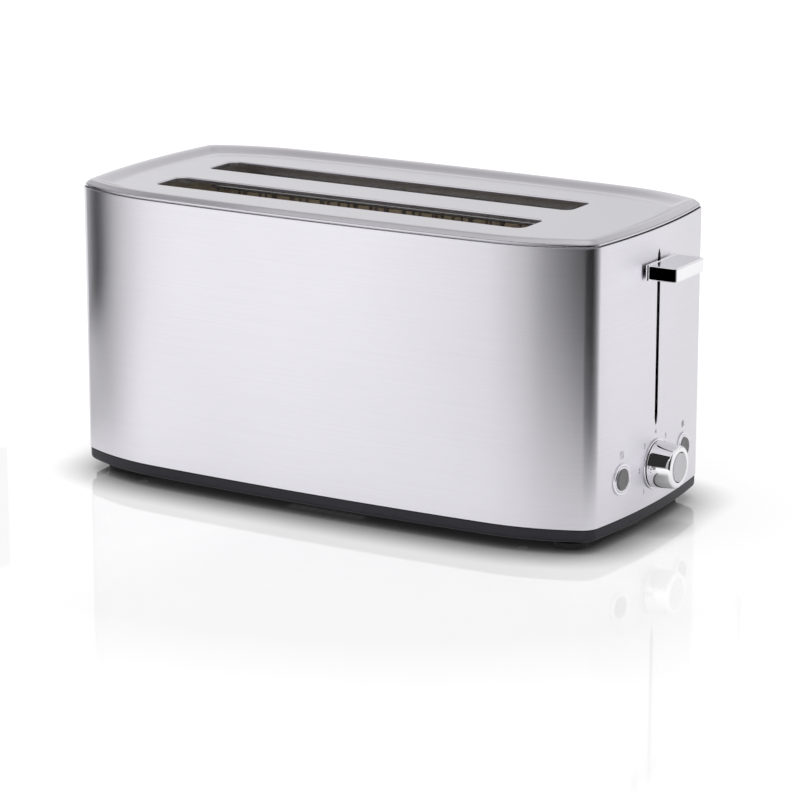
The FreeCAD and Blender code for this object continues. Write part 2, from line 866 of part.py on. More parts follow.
def bread_guide(side, inward):
    """Wire grid beside the bread: a pivot rod in both end plates, cross bars and a row of upright wires."""
    y = side * slot_y - inward * guide_offset
    over = chassis_sheet + guide_rod_proud
    span = control_plate - far_plate + 2 * over
    rise = guide_top - guide_pivot_z
    x0 = slot_x0 + guide_end_margin
    x1 = slot_x1 - guide_end_margin
    bars = [rod((far_plate - over, y, guide_pivot_z), (1, 0, 0), guide_rod_radius, span)]
    for share in guide_bar_shares:
        bars.append(rod((x0, y, guide_pivot_z + rise * share), (1, 0, 0), guide_bar_radius, x1 - x0))
    wire_y = y + inward * guide_wire_offset
    first = x0 + guide_wire_margin
    last = x1 - guide_wire_margin
    for i in range(guide_wire_count):
        x = first + (last - first) * i / (guide_wire_count - 1)
        start = (x, wire_y, guide_pivot_z - guide_wire_over)
        bars.append(rod(start, (0, 0, 1), guide_wire_radius, rise + 2 * guide_wire_over))
    return fused(bars)


# Knob, buttons and bezels


def bezel(y, outer, bore):
    """Ring that stands proud of the bowed end by the same height all round."""
    inside = surface_x(abs(y) + outer) - past
    reach = half_length + bezel_proud + past - inside
    low = control_z - outer - past
    high = control_z + outer + past
    band = prism(-bezel_proud, low, high).cut(prism(-bezel_gap, low - past, high + past))
    ring = band.common(rod((inside, y, control_z), (1, 0, 0), outer, reach))
    return ring.cut(rod((inside, y, control_z), (1, 0, 0), bore, reach))


def knob_bezel():
    """Flat ring behind the browning knob."""
    return bezel(0, knob_bezel_radius, knob_bezel_bore)


def button_bezel(side):
    """Ring round one button, with a sleeve through the hole in the steel."""
    y = side * button_spread
    ring = bezel(y, button_bezel_radius, button_bore)
    inside = surface_x(y) - bezel_sleeve_length
    start = (inside, y, control_z)
    sleeve = rod(start, (1, 0, 0), button_bezel_sleeve, surface_x(y) + bezel_proud / 2 - inside)
    sleeve = sleeve.cut(rod(start, (1, 0, 0), button_bore, bezel_sleeve_length + 2 * bezel_proud))
    return fused([ring, sleeve])


def browning_knob():
    """Tapered knob with a recess for the cancel button, a hollow stem and a round pointer at its root."""
    x0 = half_length + bezel_proud + knob_gap
    x1 = half_length + knob_reach
    body = Part.makeCone(knob_radius, knob_front_radius, x1 - x0, Vector(x0, 0, control_z), Vector(1, 0, 0))
    body = body.makeFillet(knob_round, [e for e in body.Edges if e.BoundBox.XMin > x1 - lap])
    stem_end = board_front + switch_depth + stem_end_gap
    stem = rod((stem_end, 0, control_z), (1, 0, 0), knob_stem_radius, x0 + lap - stem_end)
    nub = rod((x0 + nub_setback, 0, control_z), (0, -1, 0), nub_radius, knob_radius + nub_proud)
    body = fused([body, stem, nub])
    recess_start = (x1 - knob_recess_depth, 0, control_z)
    recess = rod(recess_start, (1, 0, 0), cancel_radius + cancel_clearance, knob_recess_depth + past)
    bore = rod((stem_end - past, 0, control_z), (1, 0, 0), knob_bore_radius, x1 - stem_end)
    return body.cut([recess, bore])


def cancel_button():
    """Round cap in the middle of the knob, on a rod that runs through the hollow stem to its switch."""
    knob_end = half_length + knob_reach
    x1 = knob_end + cancel_proud
    x0 = knob_end - knob_recess_depth + press_travel + knob_gap
    cap = rod((x0, 0, control_z), (1, 0, 0), cancel_radius, x1 - x0)
    cap = cap.makeFillet(cancel_round, [e for e in cap.Edges if e.BoundBox.XMin > x1 - lap])
    end = plunger_end + press_travel + press_gap
    return fused([cap, rod((end, 0, control_z), (1, 0, 0), cancel_rod_radius, x0 + lap - end)])


def push_button(side):
    """Round cap in its bezel, on a stem that reaches its switch."""
    y = side * button_spread
    x1 = surface_x(y) + button_proud
    x0 = surface_x(y) - button_depth
    cap = rod((x0, y, control_z), (1, 0, 0), button_radius, x1 - x0)
    cap = cap.makeFillet(button_round, [e for e in cap.Edges if e.BoundBox.XMin > x1 - lap])
    end = plunger_end + press_travel + press_gap
    return fused([cap, rod((end, y, control_z), (1, 0, 0), button_stem_radius, x0 + lap - end)])


def control_carrier():
    """Moulded wall behind the control end that stands on the base and carries the circuit board."""
    x0 = carrier_x
    x1 = carrier_x + carrier_sheet
    pieces = [block(x0, x1, -carrier_half_width, carrier_half_width, floor_top, carrier_top)]
    for y, z in boss_places():
        pieces.append(rod((x0 - board_gap, y, z), (1, 0, 0), boss_radius, board_gap + lap))
    cutters = [rod((x0 - past, 0, control_z), (1, 0, 0), knob_hole, carrier_sheet + 2 * past)]
    for side in (-1, 1):
        start = (x0 - past, side * button_spread, control_z)
        cutters.append(rod(start, (1, 0, 0), stem_hole, carrier_sheet + 2 * past))
    hole_radius = board_screw_radius + thread_clearance
    for y, z in boss_places():
        start = (x0 - board_gap - past, y, z)
        cutters.append(rod(start, (1, 0, 0), hole_radius, board_screw_length + past))
    return fused(pieces).cut(cutters)


def boss_places():
    """Where the board is screwed to the carrier."""
    levels = (board_bottom + boss_end_margin, board_top - boss_end_margin)
    return [(side * boss_spread, z) for side in (-1, 1) for z in levels]


def circuit_board():
    """Upright circuit board."""
    half = board_half_width
    board = block(board_x, board_front, -half, half, board_bottom, board_top)
    for y, z in boss_places():
        start = (board_x - past, y, z)
        board = board.cut(rod(start, (1, 0, 0), board_screw_radius + hole_clearance, board_sheet + 2 * past))
    return board


def board_screws():
    """Four screws that hold the board to the carrier's bosses."""
    screws = []
    head_start = board_x - board_screw_head_height
    for y, z in boss_places():
        head = rod((head_start, y, z), (1, 0, 0), board_screw_head, board_screw_head_height)
        shank = rod((board_x - lap, y, z), (1, 0, 0), board_screw_radius, board_screw_length)
        screws.append(fused([head, shank]))
    return Part.makeCompound(screws)


def board_parts():
    """Relay, transformer, chip and two capacitors on the board's inner face."""
    boxes = ((relay_size, relay_corner), (transformer_size, transformer_corner), (chip_size, chip_corner))
    parts = []
    for size, (y, z) in boxes:
        parts.append(Part.makeBox(size.x, size.y, size.z, Vector(board_x - size.x, y, z)))
    for y, z in capacitor_places:
        parts.append(rod((board_x - capacitor_length, y, z), (1, 0, 0), capacitor_radius, capacitor_length))
    return Part.makeCompound(parts)


def potentiometer():
    """Square body round the knob's stem."""
    half = pot_size / 2
    low = control_z - half
    high = low + pot_size
    body = block(board_front, board_front + pot_depth, -half, half, low, high)
    pocket_half = switch_size / 2 + pot_pocket_gap
    pocket_end = board_front + switch_depth + stem_end_gap / 2
    pocket = block(board_front - past, pocket_end, -pocket_half, pocket_half, low - past, high)
    bore = rod((board_front, 0, control_z), (1, 0, 0), knob_stem_radius + running, pot_depth + past)
    return body.cut([pocket, bore])


def push_switches():
    """Three push switches on the board, behind the two buttons and the cancel button."""
    half = switch_size / 2
    low = control_z - half
    switches = []
    for y in (-button_spread, 0, button_spread):
        body = block(board_front, board_front + switch_depth, y - half, y + half, low, low + switch_size)
        start = board_front + switch_depth - lap
        plunger = rod((start, y, control_z), (1, 0, 0), plunger_radius, plunger_length + lap)
        switches.append(fused([body, plunger]))
    return Part.makeCompound(switches)


# Magnet, mains switch and terminals


def magnet_bracket():
    """Angle on the chassis plate that carries the magnet."""
    x0 = control_plate + chassis_sheet
    x1 = rod_x + core_length / 2 + bracket_margin
    y = bracket_half_width
    t = bracket_sheet
    low = magnet_bottom - t
    half = bracket_prop / 2
    shelf = block(x0, x1, -y, y, low, magnet_bottom)
    riser = block(x0, x0 + t, -y, y, low, magnet_bottom + bracket_riser)
    prop = block(x0 + bracket_prop, x1, -half, half, floor_top, low + lap)
    return fused([shelf, riser, prop])


def magnet_core():
    """Three-legged iron core."""
    x0 = rod_x - core_length / 2
    x1 = rod_x + core_length / 2
    y = armature_half_width
    half = core_leg / 2
    yoke_top = magnet_bottom + core_yoke
    pieces = [block(x0, x1, -y, y, magnet_bottom, yoke_top)]
    for centre in (half - y, 0, y - half):
        pieces.append(block(x0, x1, centre - half, centre + half, yoke_top - lap, pole_top))
    return fused(pieces)


def magnet_coil():
    """Winding round the core's middle leg, as its outer shape."""
    leg = core_leg / 2 + core_gap
    outer = armature_half_width - core_leg - core_gap
    z0 = magnet_bottom + core_yoke + core_gap
    z1 = pole_top - coil_drop
    inner = core_length / 2 + core_gap
    reach = core_length / 2 + coil_overhang
    wound = block(rod_x - reach, rod_x + reach, -outer, outer, z0, z1)
    wound = wound.makeFillet(coil_round, upright_edges(wound))
    return wound.cut(block(rod_x - inner, rod_x + inner, -leg, leg, z0 - past, z1 + past))


def mains_switch():
    """Block beside the magnet whose contacts the carriage's finger closes."""
    x0 = control_plate + chassis_sheet
    x1 = x0 + mains_switch_depth
    y0 = mains_switch_y
    top = carriage_bottom - travel - actuator_gap
    body_top = top - switch_key_height
    body = block(x0, x1, y0, y0 + mains_switch_size, floor_top + mains_switch_lift, body_top)
    margin = switch_key_margin
    key = block(x0 + margin, x1 - margin, y0 + past, y0 + switch_finger_width - past, body_top - lap, top)
    return fused([body, key])


def terminal_block():
    """Moulded block on the base's floor where the mains cord is joined."""
    corner = Vector(control_plate + terminal_setback, terminal_y, floor_top)
    body = Part.makeBox(terminal_size.x, terminal_size.y, terminal_size.z, corner)
    y = terminal_y + terminal_size.y / 2
    holes = []
    for i in range(terminal_count):
        x = corner.x + terminal_size.x * (i + 0.5) / terminal_count
        holes.append(rod((x, y, corner.z + terminal_floor), (0, 0, 1), terminal_hole, terminal_size.z))
    return body.cut(holes)


front = -1
back = 1

nodes = {
    "housing_shell": housing_shell(),
    "top_plate": top_plate(),
    "base": base(),
    "feet": feet(),
    "base_screws": base_screws(),
    "cord_gland": cord_gland(),
    "crumb_tray": crumb_tray(),
    "tray_pull": tray_pull(),
    "lever_knob": lever_knob(),
    "lever_arm": lever_arm(),
    "carriage_plate": carriage_plate(),
    "carriage_slides": carriage_slides(),
    "front_bread_rack": bread_rack(front),
    "back_bread_rack": bread_rack(back),
    "armature_plate": armature_plate(),
    "guide_rods": guide_rods(),
    "return_springs": return_springs(),
    "control_end_plate": control_end_plate(),
    "far_end_plate": far_end_plate(),
    "front_reflector": reflector(front),
    "back_reflector": reflector(back),
    "knob_bezel": knob_bezel(),
    "reheat_bezel": button_bezel(front),
    "defrost_bezel": button_bezel(back),
    "browning_knob": browning_knob(),
    "cancel_button": cancel_button(),
    "reheat_button": push_button(front),
    "defrost_button": push_button(back),
    "control_carrier": control_carrier(),
    "circuit_board": circuit_board(),
    "board_screws": board_screws(),
    "board_parts": board_parts(),
    "potentiometer": potentiometer(),
    "push_switches": push_switches(),
    "magnet_bracket": magnet_bracket(),
    "magnet_core": magnet_core(),
    "magnet_coil": magnet_coil(),
    "mains_switch": mains_switch(),
    "terminal_block": terminal_block(),
}
for name, side in (("front", front), ("back", back)):
    for place, offset in (("outer", side), ("inner", -side)):
        y = side * slot_y + offset * heater_offset
        nodes[f"{name}_{place}_heater"] = heater_board(y)
        nodes[f"{name}_{place}_ribbon"] = heater_ribbon(y)
        nodes[f"{name}_{place}_guide"] = bread_guide(side, -offset)

# The whole footprint runs from the tray's pull to the lever, and its middle becomes the origin.
shift = Vector((pull_proud - lever_reach) / 2, 0, 0)
os.makedirs("parts", exist_ok=True)
for name, shape in nodes.items():
    shape.translate(shift)
    shape.exportStep(f"parts/{name}.step")
    box = shape.BoundBox
    corners = [round(v, 2) for v in (box.XMin, box.XMax, box.YMin, box.YMax, box.ZMin, box.ZMax)]
    solids = len(shape.Solids)
    print(name, solids, "solids, valid", shape.isValid(), "volume", round(shape.Volume, 1), corners)
print("nodes", len(nodes), "travel", round(travel, 3), "lever at", lever_z, "rack top", round(rack_top, 3))
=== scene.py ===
# %% [markdown]
# # A long slot toaster in brushed steel
# The frame below is the toaster's construction at its real size. It fixes where every piece sits and how
# it moves. This lesson gives each visible piece its modelled shape and its finish, then lights and frames
# the toaster as a product photographer would.

# %% Start on the frame
import json
import math

import bmesh
import bpy
import numpy as np
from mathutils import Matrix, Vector


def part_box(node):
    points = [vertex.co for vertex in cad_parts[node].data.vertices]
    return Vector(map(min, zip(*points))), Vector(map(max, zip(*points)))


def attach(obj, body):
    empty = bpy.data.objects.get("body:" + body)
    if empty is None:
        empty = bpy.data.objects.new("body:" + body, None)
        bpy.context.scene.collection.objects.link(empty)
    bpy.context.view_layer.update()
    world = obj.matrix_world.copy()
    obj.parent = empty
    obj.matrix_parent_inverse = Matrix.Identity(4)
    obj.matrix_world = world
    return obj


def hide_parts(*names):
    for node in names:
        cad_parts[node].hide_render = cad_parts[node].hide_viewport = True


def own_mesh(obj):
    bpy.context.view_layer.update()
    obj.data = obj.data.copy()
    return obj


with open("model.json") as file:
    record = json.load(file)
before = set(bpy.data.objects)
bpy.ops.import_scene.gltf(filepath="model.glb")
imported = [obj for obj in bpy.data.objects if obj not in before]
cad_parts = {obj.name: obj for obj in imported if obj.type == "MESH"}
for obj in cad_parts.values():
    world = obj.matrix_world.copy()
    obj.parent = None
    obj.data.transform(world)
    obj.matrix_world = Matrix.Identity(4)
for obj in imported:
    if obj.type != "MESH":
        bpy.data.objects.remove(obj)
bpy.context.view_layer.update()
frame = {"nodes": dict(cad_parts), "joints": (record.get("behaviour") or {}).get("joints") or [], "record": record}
nodes = frame["nodes"]

# %% [markdown]
# ## Working by hand, in code
# A modeller selects, moves into edit mode, extrudes and bevels. The helpers below do the same with
# operators. Each one starts by clearing the selection, because an operator acts on all that is selected.

# %% Picking pieces and going into edit mode
MM = 0.001


def deselect():
    """Leaves edit mode and clears the selection."""
    if bpy.context.mode != "OBJECT":
        bpy.ops.object.mode_set(mode="OBJECT")
    bpy.ops.object.select_all(action="DESELECT")


def pick(*pieces):
    """Selects these pieces only, with the first one active."""
    deselect()
    for piece in pieces:
        piece.select_set(True)
    bpy.context.view_layer.objects.active = pieces[0]


def started(name):
    """Names the primitive that was just added."""
    piece = bpy.context.active_object
    piece.name = name
    piece.data.name = name
    return piece


def edit(piece, mode="VERT"):
    """Goes into edit mode on one piece with nothing selected in it."""
    pick(piece)
    bpy.ops.object.mode_set(mode="EDIT")
    bpy.ops.mesh.select_mode(type=mode)
    bpy.ops.mesh.select_all(action="DESELECT")


def select_edges(piece, test):
    """Selects the edges whose two ends pass a test."""
    mesh = bmesh.from_edit_mesh(piece.data)
    for edge in mesh.edges:
        edge.select_set(test(edge.verts[0].co, edge.verts[1].co))
    mesh.select_flush_mode()
    bmesh.update_edit_mesh(piece.data)


def select_faces(piece, test):
    """Selects the faces whose middle and normal pass a test."""
    mesh = bmesh.from_edit_mesh(piece.data)
    for face in mesh.faces:
        face.select_set(test(face.calc_center_median(), face.normal))
    mesh.select_flush_mode()
    bmesh.update_edit_mesh(piece.data)


def select_rims(piece, test):
    """Selects the open edges whose two ends pass a test."""
    mesh = bmesh.from_edit_mesh(piece.data)
    for edge in mesh.edges:
        edge.select_set(edge.is_boundary and all(test(v.co) for v in edge.verts))
    bmesh.update_edit_mesh(piece.data)


print("hand tools: pick, edit and select")

# %% Modifiers, cutting and joining


def settle(piece):
    """Moves a piece's place, turn and scale into its mesh."""
    pick(piece)
    bpy.ops.object.transform_apply(location=True, rotation=True, scale=True)


def modify(piece, kind, **settings):
    """Adds a modifier to a piece and applies it at once."""
    pick(piece)
    modifier = piece.modifiers.new(kind.title(), kind)
    for key, value in settings.items():
        setattr(modifier, key, value)
    bpy.ops.object.modifier_apply(modifier=modifier.name)


def cut(piece, cutter):
    """Takes the cutter's shape out of a piece, and throws the cutter away."""
    modify(piece, "BOOLEAN", object=cutter, operation="DIFFERENCE", solver="EXACT")
    bpy.data.objects.remove(cutter)


def joined(*pieces):
    """Makes several objects one, under the first one's name."""
    pick(*pieces)
    bpy.ops.object.join()
    return pieces[0]


def block(name, low, high):
    """A cube primitive stretched between two corners."""
    low = Vector(low)
    high = Vector(high)
    deselect()
    bpy.ops.mesh.primitive_cube_add(size=1, location=(low + high) / 2, scale=high - low)
    piece = started(name)
    settle(piece)
    return piece


print("hand tools: modify, cut, join and block")

# %% [markdown]
# ## Rings
# Most shells here are rings stacked on each other: the sleeve, the dished plate, the base, and every
# turned piece such as the knob. A circle is added, its vertices are set on the first ring, and its edge
# is extruded once for each further ring. This gives clean quads that follow the shape.

# %% Ring by ring
weld = 1e-6


def loft(name, rings, ends="filled"):
    """Extrudes a circle through rings of points. Its ends are "filled", "open" or "joined"."""
    deselect()
    count = len(rings[0])
    bpy.ops.mesh.primitive_circle_add(vertices=count, radius=1)
    piece = started(name)
    for vertex, point in zip(piece.data.vertices, rings[0]):
        vertex.co = point
    places = {i: i for i in range(count)}
    edit(piece)
    bpy.ops.mesh.select_all(action="SELECT")
    for ring in rings[1:] + (rings[:1] if ends == "joined" else []):
        bpy.ops.mesh.extrude_region_move()
        mesh = bmesh.from_edit_mesh(piece.data)
        mesh.verts.index_update()
        fresh = {}
        for vertex in mesh.verts:
            if vertex.select:
                old = next(e.other_vert(vertex) for e in vertex.link_edges if not e.other_vert(vertex).select)
                fresh[vertex.index] = places[old.index]
        mesh.verts.ensure_lookup_table()
        for index, place in fresh.items():
            mesh.verts[index].co = ring[place]
        places = fresh
        bmesh.update_edit_mesh(piece.data)
    if ends == "filled":
        bpy.ops.mesh.edge_face_add()
        bpy.ops.mesh.select_all(action="DESELECT")
        mesh = bmesh.from_edit_mesh(piece.data)
        mesh.verts.ensure_lookup_table()
        for i in range(count):
            mesh.verts[i].select_set(True)
        mesh.select_flush_mode()
        bmesh.update_edit_mesh(piece.data)
        bpy.ops.mesh.edge_face_add()
    bpy.ops.mesh.select_all(action="SELECT")
    if ends == "joined":
        bpy.ops.mesh.remove_doubles(threshold=weld)
    bpy.ops.mesh.normals_make_consistent(inside=False)
    deselect()
    return piece


def soften(corners, steps=4):
    """A path through corners of (x, y, reach). A reach rounds its corner off from that far away."""
    path = []
    for i, (x, y, reach) in enumerate(corners):
        here = Vector((x, y))
        if not reach:
            path.append(here)
            continue
        before = Vector(corners[i - 1][:2])
        after = Vector(corners[(i + 1) % len(corners)][:2])
        start = here + (before - here).normalized() * reach
        stop = here + (after - here).normalized() * reach
        for k in range(steps + 1):
            share = k / steps
            path.append(start.lerp(here, share).lerp(here.lerp(stop, share), share))
    return path


turning_planes = {"x": (1, 2, 0), "y": (2, 0, 1), "z": (0, 1, 2)}


def turned(name, profile, centre, axis="x", steps=96, ends="filled", follow=None):
    """A turned piece: its profile is a path of (distance along the axis, radius)."""
    across, up, along = turning_planes[axis]
    rings = []
    for distance, radius in profile:
        ring = []
        for i in range(steps):
            angle = 2 * math.pi * i / steps
            point = Vector(centre)
            point[across] += radius * math.cos(angle)
            point[up] += radius * math.sin(angle)
            point[along] = distance + (follow(point.y) if follow else 0)
            ring.append(point)
        rings.append(ring)
    return loft(name, rings, ends)


print("ring tools: loft, soften and turned")

# %% [markdown]
# ## Node by node
# A finish is a small tree of shader nodes. Patterns read Object coordinates, which are metres here, so a
# scale of 1000 means one feature a millimetre. A value that is the same all over goes on the shader's own
# socket. Only what varies over the surface is linked.

# %% Helpers for finishes
finishes = {}
noise_low, noise_high = 0.3, 0.7
product_low, product_high = 0.15, 0.4
metal_relief = 0.02 * MM
moulded_relief = 0.03 * MM


def new_finish(name, color, roughness, **sockets):
    """A Principled material with its constant values set, and its node tree to add patterns to."""
    finish = bpy.data.materials.new(name)
    finish.use_nodes = True
    tree = finish.node_tree
    shader = tree.nodes["Principled BSDF"]
    shader.inputs["Base Color"].default_value = (*color, 1)
    shader.inputs["Roughness"].default_value = roughness
    for key, value in sockets.items():
        shader.inputs[key.replace("_", " ")].default_value = value
    finish.diffuse_color = (*color, 1)
    finishes[name] = finish
    return tree, shader


def add(tree, kind, values=None, **settings):
    """Adds a node, sets its properties, and sets or links its inputs."""
    node = tree.nodes.new(kind)
    for key, value in settings.items():
        setattr(node, key, value)
    for key, value in (values or {}).items():
        if isinstance(value, bpy.types.NodeSocket):
            tree.links.new(value, node.inputs[key])
        else:
            node.inputs[key].default_value = value
    return node


def pattern(tree, scale, detail=3.0, roughness=0.5):
    """Noise from 0 to 1 on Object coordinates, stretched by a scale for each axis."""
    place = add(tree, "ShaderNodeTexCoord").outputs["Object"]
    mapped = add(tree, "ShaderNodeMapping", {"Vector": place, "Scale": scale}).outputs["Vector"]
    values = {"Vector": mapped, "Scale": 1.0, "Detail": detail, "Roughness": roughness}
    return add(tree, "ShaderNodeTexNoise", values).outputs["Fac"]


def spread(tree, source, low, high, start=noise_low, stop=noise_high):
    """Maps a range of a value, by default a noise's usual one, onto two values."""
    values = {"Value": source, "From Min": start, "From Max": stop, "To Min": low, "To Max": high}
    return add(tree, "ShaderNodeMapRange", values).outputs["Result"]


def shades(tree, source, dark, light):
    """Colours between two shades, by a pattern."""
    ramp = add(tree, "ShaderNodeValToRGB", {"Fac": source})
    ramp.color_ramp.elements[0].position = noise_low
    ramp.color_ramp.elements[0].color = (*dark, 1)
    ramp.color_ramp.elements[1].position = noise_high
    ramp.color_ramp.elements[1].color = (*light, 1)
    return ramp.outputs["Color"]


def calc(tree, operation, first, second, clamp=False):
    """The result of one sum on two numbers or sockets."""
    return add(tree, "ShaderNodeMath", {0: first, 1: second}, operation=operation, use_clamp=clamp).outputs[0]


def bump(tree, shader, source, strength, distance):
    """Raises the surface a little by a pattern."""
    values = {"Height": source, "Strength": strength, "Distance": distance}
    node = add(tree, "ShaderNodeBump", values)
    tree.links.new(node.outputs["Normal"], shader.inputs["Normal"])


print("finish tools: new_finish, add, pattern, spread, shades, calc and bump")

# %% Values by stops and by azimuth


def by_stops(tree, source, stops):
    """A value from stops of (place from 0 to 1, value from 0 to 1)."""
    ramp = add(tree, "ShaderNodeValToRGB", {"Fac": source})
    elements = ramp.color_ramp.elements
    for element, (place, value) in zip(elements, (stops[0], stops[-1])):
        element.position = place
        element.color = (value, value, value, 1)
    for place, value in stops[1:-1]:
        elements.new(place).color = (value, value, value, 1)
    return ramp.outputs["Color"]


def by_azimuth(tree, direction, stops, centre=(0, 0)):
    """A value from stops of (azimuth in degrees, value). Azimuth 0 is the near side, and 90 is +X."""
    start, stop = stops[0][0], stops[-1][0]
    split = add(tree, "ShaderNodeSeparateXYZ", {0: direction}).outputs
    east = calc(tree, "SUBTRACT", split["X"], centre[0])
    south = calc(tree, "SUBTRACT", centre[1], split["Y"])
    turn = calc(tree, "ARCTAN2", east, south)
    values = {"Value": turn, "From Min": math.radians(start), "From Max": math.radians(stop)}
    share = add(tree, "ShaderNodeMapRange", values).outputs["Result"]
    return by_stops(tree, share, [((a - start) / (stop - start), v) for a, v in stops])


print("value tools: by_stops and by_azimuth")

# %% [markdown]
# ## Brushed steel
# The sleeve is sheet steel brushed along its length, so thousands of level scratches run round it. They
# scatter light up and down and hardly to the sides, which is why reflections stay crisp sideways and
# smear into tall bands. The shader's anisotropy does the smear, and a stretched noise shows the grain.


# %% Brushed and satin steels
def brushed(name, color, roughness, anisotropy, grain, axis="Z", turn=0.25, contrast=0.03, relief=0.03):
    """Steel with a straight grain: a noise that is long along the grain and fine across it."""
    sockets = {"Metallic": 1.0, "Anisotropic": anisotropy, "Anisotropic_Rotation": turn}
    tree, shader = new_finish(name, color, roughness, **sockets)
    streaks = pattern(tree, grain, detail=4, roughness=0.65)
    clouds = pattern(tree, (9, 9, 9), detail=2)
    dark = tuple(c * (1 - contrast) for c in color)
    light = tuple(c * (1 + contrast) for c in color)
    tree.links.new(shades(tree, streaks, dark, light), shader.inputs["Base Color"])
    mixed = calc(tree, "MULTIPLY", streaks, clouds)
    rough = spread(tree, mixed, roughness * 0.93, roughness * 1.07, product_low, product_high)
    tree.links.new(rough, shader.inputs["Roughness"])
    bump(tree, shader, streaks, relief, metal_relief)
    tangent = add(tree, "ShaderNodeTangent", direction_type="RADIAL", axis=axis)
    tree.links.new(tangent.outputs["Tangent"], shader.inputs["Tangent"])


brushed("brushed_sleeve", (0.80, 0.785, 0.835), 0.34, 0.9, (14, 14, 2600))
brushed("satin_plate", (0.635, 0.62, 0.66), 0.21, 0.3, (14, 2600, 14), axis="X", turn=0.0)
brushed("bright_sheet", (0.80, 0.80, 0.80), 0.22, 0.3, (14, 14, 1800))
brushed("zinc_steel", (0.62, 0.63, 0.64), 0.40, 0.2, (30, 30, 900), contrast=0.08)
brushed("ground_steel", (0.68, 0.68, 0.68), 0.20, 0.3, (40, 40, 2500))
print("brushed steels:", sorted(finishes))

# %% [markdown]
# ## Chrome, plain metals and wire
# Plating is almost a mirror, with faint wiping marks that only show in its gloss. Spring wire, guide wire
# and the iron parts are duller, with a mottled surface.


# %% Plated and plain metals
def plain_metal(name, color, roughness, mottle, scale=400, relief=0.05):
    """Metal with a mottled tone and gloss."""
    tree, shader = new_finish(name, color, roughness, Metallic=1.0)
    spots = pattern(tree, (scale, scale, scale), detail=3)
    dark = tuple(c * (1 - mottle) for c in color)
    tree.links.new(shades(tree, spots, dark, color), shader.inputs["Base Color"])
    tree.links.new(spread(tree, spots, roughness * 0.8, roughness * 1.2), shader.inputs["Roughness"])
    bump(tree, shader, spots, relief, metal_relief)


plain_metal("polished_chrome", (0.90, 0.89, 0.915), 0.045, 0.02, scale=60, relief=0.004)
plain_metal("satin_ring", (0.83, 0.815, 0.86), 0.22, 0.03, scale=300, relief=0.02)
plain_metal("guide_wire", (0.45, 0.45, 0.46), 0.30, 0.15)
plain_metal("spring_steel", (0.42, 0.42, 0.43), 0.32, 0.12)
plain_metal("soft_iron", (0.30, 0.29, 0.28), 0.45, 0.2)
plain_metal("heater_ribbon", (0.38, 0.34, 0.31), 0.42, 0.25, scale=700)
plain_metal("copper_winding", (0.72, 0.36, 0.20), 0.35, 0.2, scale=900)
print("metals so far:", len(finishes))

# %% [markdown]
# ## Plastics, rubber and boards
# Moulded plastic has a fine spark-eroded texture and a soft sheen. Rubber is duller and dustier. The mica
# heater boards are flaky and brown-grey, and the circuit board is a green laminate.


# %% Moulded and laminated finishes
def moulded(name, color, roughness, texture=2200, relief=0.15, lift=1.35, mottle=6, **sockets):
    """Moulded surface: a fine texture in the relief, and a slow drift in tone."""
    tree, shader = new_finish(name, color, roughness, **sockets)
    drift = pattern(tree, (mottle, mottle, mottle), detail=2)
    light = tuple(min(1.0, c * lift) for c in color)
    tree.links.new(shades(tree, drift, color, light), shader.inputs["Base Color"])
    fine = pattern(tree, (texture, texture, texture), detail=2)
    tree.links.new(spread(tree, fine, roughness * 0.9, roughness * 1.15), shader.inputs["Roughness"])
    bump(tree, shader, fine, relief, moulded_relief)


moulded("black_base", (0.022, 0.0215, 0.029), 0.36, Specular_IOR_Level=0.22)
moulded("black_bush", (0.018, 0.018, 0.018), 0.50)
moulded("slide_plastic", (0.55, 0.54, 0.50), 0.40, lift=1.1)
moulded("terminal_plastic", (0.60, 0.60, 0.58), 0.42, lift=1.1)
moulded("foot_rubber", (0.022, 0.022, 0.022), 0.75, texture=1400, relief=0.35)
moulded("grey_cap", (0.19, 0.19, 0.195), 0.42, texture=1800, relief=0.08, lift=1.06)
moulded("light_cap", (0.72, 0.715, 0.74), 0.36, texture=1800, relief=0.08, lift=1.05)
moulded("board_parts", (0.06, 0.06, 0.07), 0.45, texture=500, mottle=90, lift=4.0)
moulded("board_laminate", (0.03, 0.13, 0.06), 0.35, texture=900, relief=0.05, mottle=120, lift=1.5)
moulded("mica_board", (0.36, 0.29, 0.21), 0.55, texture=500, relief=0.4, mottle=140, lift=1.45)
moulded("dial_ink", (0.19, 0.19, 0.195), 0.55, texture=3000, relief=0.05)
print("finishes:", len(finishes))

# %% Every CAD node gets its finish
for part in frame["record"]["subparts"]:
    for material_slot in nodes[part["node"]].material_slots:
        material_slot.material = finishes[part["material_slot"]]

# %% [markdown]
# ## The plan outline
# Seen from above, the toaster is a long rectangle that bows gently outwards on every side. Each side is
# one large arc, then a tighter one leads into a small round corner. The same four arcs, turned into
# points, give the sleeve, the top plate and the base, so that they nest at any inset.

# %% Four arcs to a quarter
side_turn = math.radians(2.6)
blend_turn = math.radians(23.4)
corner_turn = math.radians(55.8)
blend_radius = 147 * MM
corner_radius = 12.4 * MM
arc_steps = (8, 16, 20, 10)

sleeve_low, sleeve_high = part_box("housing_shell")
half_length = (sleeve_high.x - sleeve_low.x) / 2
half_width = (sleeve_high.y - sleeve_low.y) / 2
middle_x = (sleeve_high.x + sleeve_low.x) / 2


def arc_step(start, stop, radius):
    """How far an arc goes while its heading turns left from start to stop."""
    return Vector((radius * (math.sin(stop) - math.sin(start)), radius * (math.cos(start) - math.cos(stop))))


